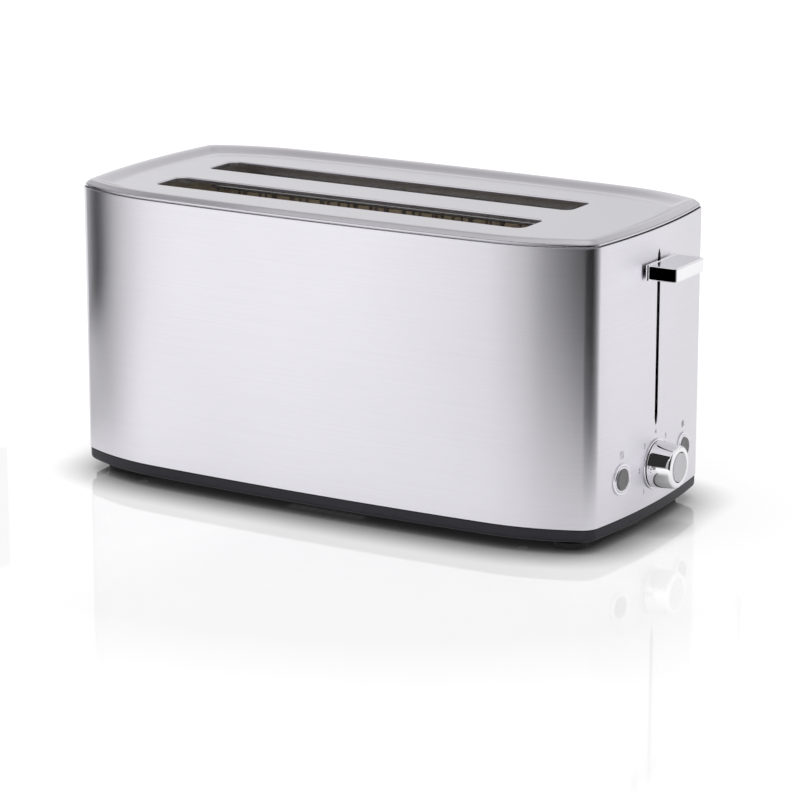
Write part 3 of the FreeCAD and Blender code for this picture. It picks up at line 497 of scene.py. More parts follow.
def outline(inset, corner=None):
    """The plan outline moved in by an inset, from the near side's middle round by the control end."""
    first = side_turn + blend_turn
    headings = (0, side_turn, first, first + corner_turn, math.pi / 2)
    blend = blend_radius - inset
    round_corner = corner_radius - inset if corner is None else corner
    unit_side = arc_step(headings[0], headings[1], 1)
    unit_end = arc_step(headings[3], headings[4], 1)
    fixed = arc_step(headings[1], headings[2], blend) + arc_step(headings[2], headings[3], round_corner)
    right = half_length - inset - fixed.x
    up = half_width - inset - fixed.y
    determinant = unit_side.x * unit_end.y - unit_side.y * unit_end.x
    side = (right * unit_end.y - up * unit_end.x) / determinant
    end = (unit_side.x * up - unit_side.y * right) / determinant
    corner_point = Vector((0, inset - half_width))
    quarter = [corner_point]
    radii = (side, blend, round_corner, end)
    for radius, start, stop, steps in zip(radii, headings, headings[1:], arc_steps):
        for i in range(1, steps + 1):
            quarter.append(corner_point + arc_step(start, start + (stop - start) * i / steps, radius))
        corner_point = quarter[-1]
    half = quarter + [Vector((p.x, -p.y)) for p in reversed(quarter[:-1])]
    whole = half + [Vector((-p.x, p.y)) for p in reversed(half[1:-1])]
    return [Vector((p.x + middle_x, p.y)) for p in whole]


def level(points, z):
    """Plan points lifted to a level."""
    return [Vector((p.x, p.y, z)) for p in points]


end_points = sorted((p.y, p.x) for p in outline(0) if p.x > sleeve_high.x - corner_radius)
end_ys = [p[0] for p in end_points]
end_xs = [p[1] for p in end_points]


def end_face(y):
    """How far out the control end lies at a given y."""
    return float(np.interp(y, end_ys, end_xs))


print("outline:", len(outline(0)), "points,", round(1000 * (sleeve_high.x - sleeve_low.x)), "mm long")

# %% [markdown]
# ## Finishing a piece
# Every piece ends the same way. Its place goes into its mesh, its edges are shaded smooth below a set
# angle, and weighted normals keep the large faces flat beside their small roundings. Then it is tied to
# the body that it moves with, and it takes the place of its plain CAD node.


# %% Tie a piece to the frame
def finish_piece(piece, finish, body, slot, *replaced, angle=35):
    """Shades a piece, gives it its finish, and ties it to its body and CAD nodes."""
    settle(piece)
    bpy.ops.object.shade_smooth_by_angle(angle=math.radians(angle))
    modify(piece, "WEIGHTED_NORMAL", keep_sharp=True)
    piece.data.materials.clear()
    piece.data.materials.append(finishes[finish])
    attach(piece, body)
    if replaced:
        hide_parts(*replaced)
    size = [round(1000 * v, 1) for v in piece.dimensions]
    print(piece.name, "-", len(piece.data.polygons), "faces,", size, "mm")


# %% [markdown]
# ## The steel sleeve
# One sheet of steel is wrapped round the whole toaster. It is a ring of the outline with a real wall: the
# path goes up the outside, over a rounded top edge and down the inside, and joins up with its start.

# %% The sleeve's wall
sheet = 0.8 * MM
edge_round = 0.35 * MM
wall_path = soften(
    [
        (0, sleeve_low.z, 0),
        (0, sleeve_high.z, edge_round),
        (sheet, sleeve_high.z, edge_round),
        (sheet, sleeve_low.z, 0),
    ],
    steps=3,
)
sleeve = loft("sleeve_skin", [level(outline(inset), z) for inset, z in wall_path], ends="joined")
print("sleeve wall:", len(wall_path), "rings")

# %% [markdown]
# The control end has four openings: the lever's long slot with drawn-out ends, the knob's hole and two
# button holes. Each is a cutter pushed through the wall. The slot's ends are arcs that meet in a point.

# %% The lever slot's cutter
lever_joint = next(j for j in frame["joints"] if j["name"] == "lever_slide")
lift, press = (abs(v) for v in lever_joint["range_m"])
arm_low, arm_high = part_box("lever_arm")
wall_inside = sleeve_high.x - 8 * MM
wall_outside = sleeve_high.x + 2 * MM
slot_half = 2 * MM
slot_point = 6 * MM
slot_fullness = 0.72
slot_low = arm_low.z - press - slot_point / 2 - 1.3 * MM
slot_high = arm_high.z + lift + slot_point / 2 + 0.2 * MM


def arc_through(start, middle, stop, steps):
    """Points on the arc through three points, without the last one."""
    a = middle - start
    b = stop - start
    cross = a.x * b.y - a.y * b.x
    offset = Vector((b.y * a.dot(a) - a.y * b.dot(b), a.x * b.dot(b) - b.x * a.dot(a))) / (2 * cross)
    centre = start + offset
    first = math.atan2(-offset.y, -offset.x)
    last = math.atan2(*(stop - centre).yx)
    turn = (last - first + math.pi) % (2 * math.pi) - math.pi
    radius = offset.length
    angles = [first + turn * i / steps for i in range(steps)]
    return [centre + radius * Vector((math.cos(a), math.sin(a))) for a in angles]


def slot_outline():
    """The lever slot in (y, z), round from its lower point."""
    points = []
    lower = (slot_low, slot_low + slot_point)
    upper = (slot_high, slot_high - slot_point)
    for side, (tip, shoulder), (far_tip, far_shoulder) in ((1, lower, upper), (-1, upper, lower)):
        lead = Vector((side * slot_half * slot_fullness, (tip + shoulder) / 2))
        end = Vector((side * slot_half, shoulder))
        points += arc_through(Vector((0, tip)), lead, end, 6) + [end]
        lead = Vector((side * slot_half * slot_fullness, (far_tip + far_shoulder) / 2))
        far_end = Vector((side * slot_half, far_shoulder))
        points += arc_through(far_end, lead, Vector((0, far_tip)), 6)
    return points


def through_end(points):
    """A cutter of this (y, z) outline through the control end's wall."""
    rings = [[Vector((x, p.x, p.y)) for p in points] for x in (wall_inside, wall_outside)]
    return loft("cutter", rings)


cut(sleeve, through_end(slot_outline()))
print("lever slot:", round(1000 * (slot_high - slot_low), 1), "mm long")

# %% Holes for the knob and the buttons
knob_low, knob_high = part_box("browning_knob")
control_z = (knob_low.z + knob_high.z) / 2
button_low, button_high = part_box("defrost_button")
button_y = (button_low.y + button_high.y) / 2
knob_hole = 6 * MM
button_hole = 8.6 * MM

hole_turns = np.linspace(0, 2 * math.pi, 49)[:-1]
for y, radius in ((0, knob_hole), (-button_y, button_hole), (button_y, button_hole)):
    hole = [Vector((y + radius * math.cos(t), control_z + radius * math.sin(t))) for t in hole_turns]
    cut(sleeve, through_end(hole))
finish_piece(sleeve, "brushed_sleeve", "housing", "brushed_sleeve", "housing_shell")

# %% [markdown]
# ## The dished top plate
# The plate is pressed from one sheet. Its skirt drops inside the sleeve, its rim stands a little proud,
# and a sloping band leads down to a flat panel. The rings follow that section from the skirt inwards, and
# the panel is filled afterwards round the two slots.

# %% Skirt, rim and band
plate_low, plate_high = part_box("top_plate")
plate_sheet = 0.8 * MM
skirt_inset = 1.9 * MM
edge_inset = 1.0 * MM
edge_low = sleeve_high.z + 0.65 * MM
edge_high = edge_low + 1.15 * MM
crest_inset = 5.0 * MM
band_width = 12.7 * MM
dish_depth = 4 * MM
dish_corner = 9 * MM
band_steps = 12
panel_z = plate_high.z - dish_depth

rim_path = soften(
    [
        (skirt_inset, plate_low.z, 0),
        (skirt_inset, edge_low, 0.2 * MM),
        (edge_inset, edge_low, 0.3 * MM),
        (edge_inset, edge_high, 0.3 * MM),
        (edge_inset + 0.6 * MM, edge_high + 0.1 * MM, 0),
        (edge_inset + 0.3 * MM, edge_high + 0.4 * MM, 0.15 * MM),
        (edge_inset + 3.2 * MM, plate_high.z - 0.2 * MM, 0.7 * MM),
        (crest_inset, plate_high.z, 0),
    ],
    steps=3,
)
plate_rings = [level(outline(inset), z) for inset, z in rim_path]
crest_corner = corner_radius - crest_inset
for i in range(1, band_steps + 1):
    share = i / band_steps
    fall = share * share * (3 - 2 * share)
    band_corner = crest_corner + (dish_corner - crest_corner) * share
    plan = outline(crest_inset + band_width * share, band_corner)
    plate_rings.append(level(plan, plate_high.z - dish_depth * fall))
plate = loft("slotted_plate", plate_rings, ends="open")
print("plate rings:", len(plate_rings), "panel at", round(1000 * panel_z, 1), "mm")

# %% [markdown]
# Each bread slot has a rounded lip that rolls over into a collar. The lips are rings too. When they are
# joined to the band, one fill closes the flat panel between three loops.

# %% Slot lips, panel and wall thickness
heater_low, heater_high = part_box("front_outer_heater")
slot_margin = 8 * MM
slot_x0 = heater_low.x + slot_margin
slot_x1 = heater_high.x - slot_margin
slot_y = 31 * MM
slot_width = 30 * MM
slot_corner = 6 * MM
collar_depth = 3 * MM
lip_round = 0.9 * MM
lip_steps = 4


def rounded_rectangle(low, high, corner, z, steps=8):
    """A rectangle in plan with round corners, as points at a level."""
    points = []
    places = ((high[0], high[1], 0), (low[0], high[1], 1), (low[0], low[1], 2), (high[0], low[1], 3))
    for x, y, quarter in places:
        side_x = 1 if x == high[0] else -1
        side_y = 1 if y == high[1] else -1
        for i in range(steps + 1):
            angle = math.pi / 2 * (quarter + i / steps)
            dx = corner * (math.cos(angle) - side_x)
            dy = corner * (math.sin(angle) - side_y)
            points.append(Vector((x + dx, y + dy, z)))
    return points


def slot_ring(y, grow, z):
    """The bread slot's outline round a middle y, grown by a margin."""
    low = (slot_x0 - grow, y - slot_width / 2 - grow)
    high = (slot_x1 + grow, y + slot_width / 2 + grow)
    return rounded_rectangle(low, high, slot_corner + grow, z)


lips = []
for y in (-slot_y, slot_y):
    rings = []
    for i in range(lip_steps + 1):
        angle = math.pi / 2 * i / lip_steps
        grow = lip_round * (1 - math.sin(angle))
        rings.append(slot_ring(y, grow, panel_z - lip_round * (1 - math.cos(angle))))
    rings.append(slot_ring(y, 0, panel_z - collar_depth))
    lips.append(loft("lip", rings, ends="open"))
plate = joined(plate, *lips)
edit(plate, "EDGE")
select_rims(plate, lambda place: abs(place.z - panel_z) < weld)
bpy.ops.mesh.fill(use_beauty=True)
bpy.ops.mesh.select_all(action="SELECT")
bpy.ops.mesh.normals_make_consistent(inside=False)
deselect()
modify(plate, "SOLIDIFY", thickness=plate_sheet, offset=-1)
finish_piece(plate, "satin_plate", "housing", "satin_plate", "top_plate")

# %% [markdown]
# ## The black base
# A moulded tray closes the toaster below. Its wall carries the sleeve on a step, its underside rises to
# the wall in a slant, and its floor has air slots, screw recesses and a window for the crumb tray.

# %% The base's shell
base_low, base_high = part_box("base")
base_inset = 0.5 * MM
base_wall = 2.5 * MM
under_inset = 13 * MM
under_rise = 3.8 * MM
shadow_gap = 0.7 * MM
base_floor = 2.5 * MM
spigot_inset = 1.1 * MM
floor_z = base_low.z + base_floor
base_path = soften(
    [
        (base_inset + under_inset + 5 * MM, base_low.z, 0),
        (base_inset + under_inset, base_low.z, 4 * MM),
        (base_inset, base_low.z + under_rise, 2.6 * MM),
        (base_inset, sleeve_low.z - shadow_gap, 0.2 * MM),
        (spigot_inset, sleeve_low.z - shadow_gap, 0),
        (spigot_inset, base_high.z, 0.3 * MM),
        (base_inset + base_wall, base_high.z, 0.3 * MM),
        (base_inset + base_wall, floor_z + under_rise, 1.0 * MM),
        (base_inset + under_inset, floor_z, 1.0 * MM),
        (base_inset + under_inset + 5 * MM, floor_z, 0),
    ],
    steps=6,
)
base = loft("moulded_base", [level(outline(inset), z) for inset, z in base_path])
print("base rings:", len(base_path))

# %% Window, air slots and holes
tray_low, tray_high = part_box("crumb_tray")
pull_low, pull_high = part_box("tray_pull")
plate_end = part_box("control_end_plate")[0].x
chassis_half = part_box("control_end_plate")[1].y
vent_width = 3 * MM
vent_pitch = 7 * MM
vent_top = floor_z + 5 * MM

window_gap = 0.5 * MM
window_low = (sleeve_low.x - 5 * MM, pull_low.y - window_gap, floor_z)
window_high = (tray_low.x + 5 * MM, pull_high.y + window_gap, pull_high.z + window_gap)
cut(base, block("cutter", window_low, window_high))


def vent(x, y0, y1):
    """A cutter for one air slot, with round ends."""
    corner = vent_width / 2.01
    rings = [rounded_rectangle((x, y0), (x + vent_width, y1), corner, z) for z in (0, vent_top)]
    return loft("cutter", rings)


middle_start = plate_end + 24 * MM
middle_half = 13 * MM
vents = [vent(middle_start + i * vent_pitch, -middle_half, middle_half) for i in range(4)]
row_count = 8
row_start = middle_x - ((row_count - 1) * vent_pitch + vent_width) / 2
row_near = chassis_half + 1 * MM
row_far = chassis_half + 6.5 * MM
for i in range(row_count):
    for y0, y1 in ((-row_far, -row_near), (row_near, row_far)):
        vents.append(vent(row_start + i * vent_pitch, y0, y1))
vent_count = len(vents)
cut(base, joined(*vents))
gland_low, gland_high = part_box("cord_gland")
gland = (gland_low + gland_high) / 2
gland_hole = 3.95 * MM
gland_path = [(gland_low.y - 5 * MM, gland_hole), (gland_high.y + 5 * MM, gland_hole)]
cut(base, turned("cutter", gland_path, gland, axis="y", steps=32))
print("base openings: a window,", vent_count, "air slots and the cord's hole")

# %% Screw recesses in the floor
screw_low, screw_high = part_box("base_screws")
head_radius = 3 * MM
screw_recess = 3.3 * MM
screw_depth = 1.4 * MM
for x in (screw_low.x + head_radius, screw_high.x - head_radius):
    for y in (screw_low.y + head_radius, screw_high.y - head_radius):
        path = [(0, screw_recess), (base_low.z + screw_depth, screw_recess)]
        cut(base, turned("cutter", path, (x, y, 0), axis="z", steps=32))
finish_piece(base, "black_base", "housing", "black_base", "base")

# %% [markdown]
# ## Rubber feet
# Four pads carry the weight. One is turned with a tapered side and a shallow hollow underneath, and the
# other three are copies of it, each with its own mesh.

# %% One foot, then four
feet_low, feet_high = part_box("feet")
foot_radius = 11.5 * MM
foot_top = 4.5 * MM
foot_path = soften(
    [
        (0.6 * MM, 0.5 * MM, 0),
        (0.6 * MM, 6.5 * MM, 0.4 * MM),
        (0, 7.5 * MM, 0.4 * MM),
        (0, 10.3 * MM, 0.8 * MM),
        (foot_top, foot_radius, 0),
        (foot_top, 3.9 * MM, 0),
        (feet_high.z, 3.9 * MM, 0.3 * MM),
        (feet_high.z, 1 * MM, 0),
    ]
)
near_x = feet_low.x + foot_radius
near_y = feet_low.y + foot_radius
foot = turned("rubber_feet", foot_path, (near_x, near_y, 0), axis="z", steps=48)
copies = []
for x, y in ((0, 1), (1, 0), (1, 1)):
    pick(foot)
    shift = (x * (feet_high.x - foot_radius - near_x), y * (feet_high.y - foot_radius - near_y), 0)
    bpy.ops.object.duplicate_move(TRANSFORM_OT_translate={"value": shift})
    copies.append(bpy.context.active_object)
for copy in copies:
    settle(copy)
foot = joined(foot, *copies)
finish_piece(foot, "foot_rubber", "housing", "foot_rubber", "feet")

# %% [markdown]
# ## The cord's bush
# A black bush lines the hole in the back of the base where the mains cord would come out.

# %% Bush
bush_lip = 1.4 * MM
bush_path = soften(
    [
        (gland_low.y, 3.3 * MM, 0.3 * MM),
        (gland_low.y, 4.4 * MM, 0.3 * MM),
        (gland_low.y + bush_lip, 4.4 * MM, 0.3 * MM),
        (gland_low.y + bush_lip, 3.9 * MM, 0),
        (gland_high.y - bush_lip, 3.9 * MM, 0),
        (gland_high.y - bush_lip, 4.4 * MM, 0.3 * MM),
        (gland_high.y, 4.4 * MM, 0.4 * MM),
        (gland_high.y, 3.3 * MM, 0.4 * MM),
    ]
)
bush = turned("cord_bush", bush_path, gland, axis="y", steps=48, ends="joined")
finish_piece(bush, "black_bush", "housing", "black_bush", "cord_gland")

# %% [markdown]
# ## Crumb tray
# The tray is a shallow pan bent from sheet. A block is rounded at its corners, its top is inset by the
# sheet and pushed down. The black pull closes the base's window and bows like the end that it fills.

# %% Pan
tray_sheet = 0.8 * MM
pan_corner = 2.5 * MM
pan_rim = 0.3 * MM
sharp = math.radians(50)
pan = block("crumb_pan", tray_low, tray_high)
edit(pan, "EDGE")
select_edges(pan, lambda a, b: abs(a.z - b.z) > MM)
bpy.ops.mesh.bevel(offset=pan_corner, segments=5)
bpy.ops.mesh.select_mode(type="FACE")
select_faces(pan, lambda c, n: n.z > 0.9)
bpy.ops.mesh.inset(thickness=tray_sheet)
depth = tray_sheet - (tray_high.z - tray_low.z)
bpy.ops.mesh.extrude_region_move(TRANSFORM_OT_translate={"value": (0, 0, depth)})
deselect()
modify(pan, "BEVEL", width=pan_rim, segments=2, limit_method="ANGLE", angle_limit=sharp)
finish_piece(pan, "bright_sheet", "tray", "bright_sheet", "crumb_tray")

# %% Pull
pull_edge = 1.2 * MM
pull_columns = 32
pull_line = sorted((p.y, p.x) for p in outline(pull_low.x - sleeve_low.x) if p.x < sleeve_low.x + 20 * MM)
pull_ys = [p[0] for p in pull_line]
pull_xs = [p[1] for p in pull_line]


def pull_ring(shrink, z):
    """The pull's plan at a level, moved in from its bowed front and its two ends."""
    half = pull_high.y - shrink
    ys = np.linspace(-half, half, pull_columns)
    front = [Vector((np.interp(y, pull_ys, pull_xs) + shrink, y, z)) for y in ys]
    return front + [Vector((pull_high.x, y, z)) for y in reversed(ys)]


pull_path = soften(
    [
        (pull_edge, pull_low.z, 0),
        (0, pull_low.z, pull_edge * 0.9),
        (0, pull_high.z, pull_edge * 0.9),
        (pull_edge, pull_high.z, 0),
    ]
)
pull = loft("tray_front", [pull_ring(shrink, z) for shrink, z in pull_path])
groove_half = 30 * MM
groove_low = (pull_low.x - MM, -groove_half, pull_low.z - MM)
groove_high = (sleeve_low.x - 0.6 * MM, groove_half, pull_low.z + 2.4 * MM)
cut(pull, block("cutter", groove_low, groove_high))
finish_piece(pull, "black_base", "tray", "black_base", "tray_pull")

# %% [markdown]
# ## The lever
# The lever is a chromed bar across the slot. A block gets large rounds on its two outer corners and small
# ones on its rims, and a collar of the same kind sits at its root, a hair larger all round.

# %% Lever and collar
lever_low, lever_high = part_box("lever_knob")
collar_step = 0.4 * MM
collar_length = 1.8 * MM
lever_corner = 2.4 * MM
lever_rim = 1.1 * MM
collar_rim = 0.25 * MM
step = Vector((0, collar_step, collar_step))
lever = block("chrome_lever", lever_low + step, lever_high - step)
edit(lever, "EDGE")
select_edges(lever, lambda a, b: abs(a.z - b.z) > MM and a.x > lever_high.x - MM)
bpy.ops.mesh.bevel(offset=lever_corner, segments=8)
deselect()
modify(lever, "BEVEL", width=lever_rim, segments=4, limit_method="ANGLE", angle_limit=sharp)
collar = block("collar", lever_low, (lever_low.x + collar_length, lever_high.y, lever_high.z))
modify(collar, "BEVEL", width=collar_rim, segments=3, limit_method="ANGLE", angle_limit=sharp)
lever = joined(lever, collar)
finish_piece(lever, "polished_chrome", "carriage", "polished_chrome", "lever_knob")

# %% [markdown]
# ## The browning knob
# The knob is turned: a hollow stem, a slightly tapered body with a rounded front edge, and a recess for
# the cancel cap. A small round nub near its root points at the numbers.

# %% Knob and nub
knob_radius = 15 * MM
knob_front_radius = 13.3 * MM
stem_radius = 5.15 * MM
bore_radius = 3.3 * MM
recess_radius = 9.65 * MM
knob_root = sleeve_high.x + 1.5 * MM
recess_x = knob_high.x - 6.2 * MM
control = Vector((0, 0, control_z))

knob_path = soften(
    [
        (knob_low.x, bore_radius, 0),
        (knob_low.x, stem_radius, 0.3 * MM),
        (knob_root, stem_radius, 0),
        (knob_root, knob_radius, 0.5 * MM),
        (knob_high.x, knob_front_radius, 1.8 * MM),
        (knob_high.x, recess_radius, 0.35 * MM),
        (recess_x, recess_radius, 0),
        (recess_x, bore_radius, 0),
    ],
    steps=6,
)
knob = turned("turning_knob", knob_path, control, steps=128, ends="joined")
nub_x = knob_root + 2.6 * MM
nub_root = -10 * MM
nub_radius = 1.5 * MM
nub_path = [(knob_low.y, 0.2 * MM, 0), (knob_low.y, nub_radius, 0.9 * MM), (nub_root, nub_radius, 0)]
nub = turned("nub", soften(nub_path), (nub_x, 0, control_z), axis="y", steps=32)
knob = joined(knob, nub)
finish_piece(knob, "polished_chrome", "knob", "polished_chrome", "browning_knob")

# %% Ring behind the knob
ring_outer = 15.75 * MM
ring_inner = 12 * MM
ring_proud = 1.2 * MM
ring_path = soften(
    [
        (0.1 * MM, ring_inner, 0),
        (0.1 * MM, ring_outer - 0.6 * MM, 0),
        (0.5 * MM, ring_outer - 0.6 * MM, 0),
        (0.5 * MM, ring_outer, 0.15 * MM),
        (ring_proud, ring_outer, 0.35 * MM),
        (ring_proud, ring_inner, 0.2 * MM),
    ]
)
dial_ring = turned("dial_ring", ring_path, control, ends="joined", follow=end_face)
finish_piece(dial_ring, "polished_chrome", "housing", "polished_chrome", "knob_bezel")

# %% [markdown]
# ## Cancel cap and buttons
# The caps are turned discs with a faint dish in the middle and a rounded edge, on stems that reach their
# switches. Each button sits in a two-step ring: a flat outer ring, a fine groove and a raised inner lip.

# %% Caps
cancel_low, cancel_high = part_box("cancel_button")
button_sides = {"reheat": -1, "defrost": 1}
dish_steps = 6


def cap(name, tip, back, stem_end, y, radius, stem, dish, edge):
    """A dished cap with its stem, turned about X."""
    inner = radius - edge - 0.6 * MM
    path = soften(
        [
            (stem_end, 0.3 * MM, 0),
            (stem_end, stem, 0.2 * MM),
            (back, stem, 0),
            (back, radius, 0.2 * MM),
            (tip, radius, edge),
            (tip, inner, 0),
        ]
    )
    for i in range(1, dish_steps + 1):
        share = i / dish_steps
        path.append(Vector((tip - dish * (1 - (1 - share) ** 2), inner * (1 - share) + 0.2 * MM * share)))
    return turned(name, path, (0, y, control_z), steps=72)


cancel_sizes = {"radius": 9.15 * MM, "stem": 3 * MM, "dish": 0.25 * MM, "edge": 0.5 * MM}
button_sizes = {"radius": 6.65 * MM, "stem": 2.5 * MM, "dish": 0.3 * MM, "edge": 0.6 * MM}
cancel_back = recess_x + 1.8 * MM
cancel = cap("cancel_cap", cancel_high.x, cancel_back, cancel_low.x, 0, **cancel_sizes)
finish_piece(cancel, "light_cap", "cancel", "grey_cap", "cancel_button")
button_back = end_face(button_y) - 4 * MM
for name, side in button_sides.items():
    low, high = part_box(f"{name}_button")
    piece = cap(f"{name}_cap", high.x, button_back, low.x, side * button_y, **button_sizes)
    finish_piece(piece, "grey_cap", name, "grey_cap", f"{name}_button")

# %% Button rings
button_ring_path = soften(
    [
        (-7 * MM, 6.75 * MM, 0),
        (-7 * MM, 8.4 * MM, 0),
        (0.1 * MM, 8.4 * MM, 0),
        (0.1 * MM, 10 * MM, 0),
        (1.0 * MM, 10 * MM, 0.35 * MM),
        (1.0 * MM, 8.45 * MM, 0.2 * MM),
        (0.5 * MM, 8.15 * MM, 0),
        (1.2 * MM, 7.85 * MM, 0.25 * MM),
        (1.2 * MM, 6.75 * MM, 0.3 * MM),
    ]
)
for name, side in button_sides.items():
    middle = Vector((0, side * button_y, control_z))
    piece = turned(f"{name}_ring", button_ring_path, middle, steps=72, ends="joined", follow=end_face)
    finish_piece(piece, "satin_ring", "housing", "polished_chrome", f"{name}_bezel")

# %% [markdown]
# ## Numbers and marks
# The dial has plain numbers with dots between them. Each text is made a mesh, and its points are laid on
# the bowed end face, a few hundredths of a millimetre thick as print is. The two buttons have plain signs
# above them: rising heat and a snow star.

# %% Laying print on the end face
ink_depth = 0.05 * MM


def lay_on_end(piece, y, z):
    """Takes a flat mesh in its own XY plane and lays it on the control end, round a point."""
    for vertex in piece.data.vertices:
        flat = vertex.co.copy()
        place_y = y + flat.x
        proud = ink_depth if flat.z > 0 else -ink_depth
        vertex.co = (end_face(place_y) + proud, place_y, z + flat.y)
    return piece


def number(text, size, y, z):
    """One printed number."""
    deselect()
    bpy.ops.object.text_add()
    label = bpy.context.active_object
    label.data.body = text
    label.data.size = size
    label.data.align_x = "CENTER"
    label.data.align_y = "CENTER"
    label.data.extrude = ink_depth
    bpy.ops.object.convert(target="MESH")
    return lay_on_end(bpy.context.active_object, y, z)


def stroke(points, width, y, z):
    """A printed line through points in the end face's plane."""
    deselect()
    bpy.ops.curve.primitive_bezier_curve_add()
    line = bpy.context.active_object
    line.data.splines.clear()
    spline = line.data.splines.new("POLY")
    spline.points.add(len(points) - 1)
    for target, (px, py) in zip(spline.points, points):
        target.co = (px, py, 0, 1)
    line.data.dimensions = "3D"
    line.data.bevel_depth = width / 2
    line.data.bevel_resolution = 1
    line.data.use_fill_caps = True
    bpy.ops.object.convert(target="MESH")
    return lay_on_end(bpy.context.active_object, y, z)


number_radius = 20.6 * MM
number_size = 4.6 * MM
dial_start = math.radians(-135)
dial_step = math.radians(45)
dot_half = 0.15 * MM
dot_width = 0.45 * MM


def on_dial(place):
    """The y and z of a place on the dial, counted in numbers."""
    angle = dial_start + dial_step * place
    return number_radius * math.sin(angle), control_z + number_radius * math.cos(angle)


prints = []
for i in range(7):
    prints.append(number(str(i + 1), number_size, *on_dial(i)))
for i in range(6):
    prints.append(stroke([(-dot_half, 0), (dot_half, 0)], dot_width, *on_dial(i + 0.5)))
print("dial print:", len(prints), "numbers and dots")

# %% Heat and snow signs
sign_z = control_z + 15.5 * MM
sign_half = 2.4 * MM
line_width = 0.42 * MM
wave_gap = 1.6 * MM
wave_height = 0.5 * MM
wave_steps = 12
barb_turn = 0.8
barb_place = 0.55
barb_length = 0.9 * MM
for column in (-wave_gap, 0, wave_gap):
    wave = []
    for k in range(wave_steps + 1):
        share = k / wave_steps
        wave.append((column + wave_height * math.sin(2 * math.pi * share), sign_half * (2 * share - 1)))
    prints.append(stroke(wave, line_width, -button_y, sign_z))
for k in range(6):
    angle = math.pi / 3 * k + math.pi / 6
    ray = Vector((math.cos(angle), math.sin(angle)))
    prints.append(stroke([(0, 0), ray * sign_half], line_width, button_y, sign_z))
    for side in (-1, 1):
        barb = Vector((math.cos(angle + side * barb_turn), math.sin(angle + side * barb_turn)))
        root = ray * sign_half * barb_place
        prints.append(stroke([root, root + barb * barb_length], line_width, button_y, sign_z))
dial_print = joined(*prints)
dial_print.name = "dial_print"
finish_piece(dial_print, "dial_ink", "housing", "black_bush")

# %% [markdown]
# ## Return springs
# Two springs push the carriage up. A small circle is swept up a helix with the Screw modifier. On the real
# toaster they flatten as the lever goes down, each one shortening towards its seat in the base. Here both
# coils are modelled at rest and stay with the housing.

# %% Coils
spring_low, spring_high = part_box("return_springs")
rod_low, rod_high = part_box("guide_rods")
wire_radius = 0.45 * MM
coil_radius = (spring_high.x - spring_low.x) / 2 - wire_radius
coil_turns = 16
coil_steps = 24 * coil_turns
coil_height = spring_high.z - spring_low.z - 2 * wire_radius
spring_x = (spring_low.x + spring_high.x) / 2
spring_y = rod_high.y - (rod_high.x - rod_low.x) / 2
for name, side in (("front_spring", -1), ("back_spring", 1)):
    deselect()
    bpy.ops.mesh.primitive_circle_add(vertices=10, radius=wire_radius, rotation=(math.pi / 2, 0, 0))
    coil = started(name)
    settle(coil)
    for vertex in coil.data.vertices:
        vertex.co.x += coil_radius
    modify(
        coil,
        "SCREW",
        angle=2 * math.pi * coil_turns,
        screw_offset=coil_height,
        steps=coil_steps,
        render_steps=coil_steps,
        use_normal_calculate=True,
    )
    edit(coil, "EDGE")
    select_rims(coil, lambda place: True)
    bpy.ops.mesh.edge_face_add()
    bpy.ops.mesh.select_all(action="SELECT")
    bpy.ops.mesh.normals_make_consistent(inside=False)
    deselect()
    coil.location = (spring_x, side * spring_y, spring_low.z + wire_radius)
    finish_piece(coil, "spring_steel", "housing", "spring_steel", *(["return_springs"] if side < 0 else []))
    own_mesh(coil)

# %% [markdown]
# ## Floor
# The toaster stands on a pale glossy floor that runs out to white. The floor keeps a soft shadow and a
# faint mirror image, and a painted shadow darkens its colour, and its glow for the camera, close to what
# stands on it. It shines a little of its own for the camera and for reflections, more further out, so that
# it reads as white without more light on the toaster. That glow is painted light, and by side it paints
# the floor lighter or darker, also where the steel reflects it. The sides are stops of (azimuth, share).


# %% Floor and its finish
floor_white = 0.80
floor_share = 0.5
floor_gloss = 0.05
# Painted light: the floor's glow for the camera, more further out and lighter or darker by side.
seen_near, seen_far = 0.574, 0.70
seen_start, seen_stop = 0.31, 0.42
seen_sides = [(-180, 0.91), (-20, 0.91), (-4, 0.86), (50, 0.86), (78, 1), (125, 1), (180, 0.91)]
# Painted light: the floor's glow as reflections see it, more further out and darker by side behind the toaster.
near_glow, far_glow = 0.23, 0.42
glow_start, glow_stop = 0.25, 1.3
glow_sides = [(-180, 0.7), (-100, 1), (118, 1), (134, 0.96), (149, 0.78), (165, 0.62), (180, 0.7)]
# Reach and strength of the painted contact shadow on the floor.
painted_contact_reach = 32 * MM
painted_contact_power = 1.6


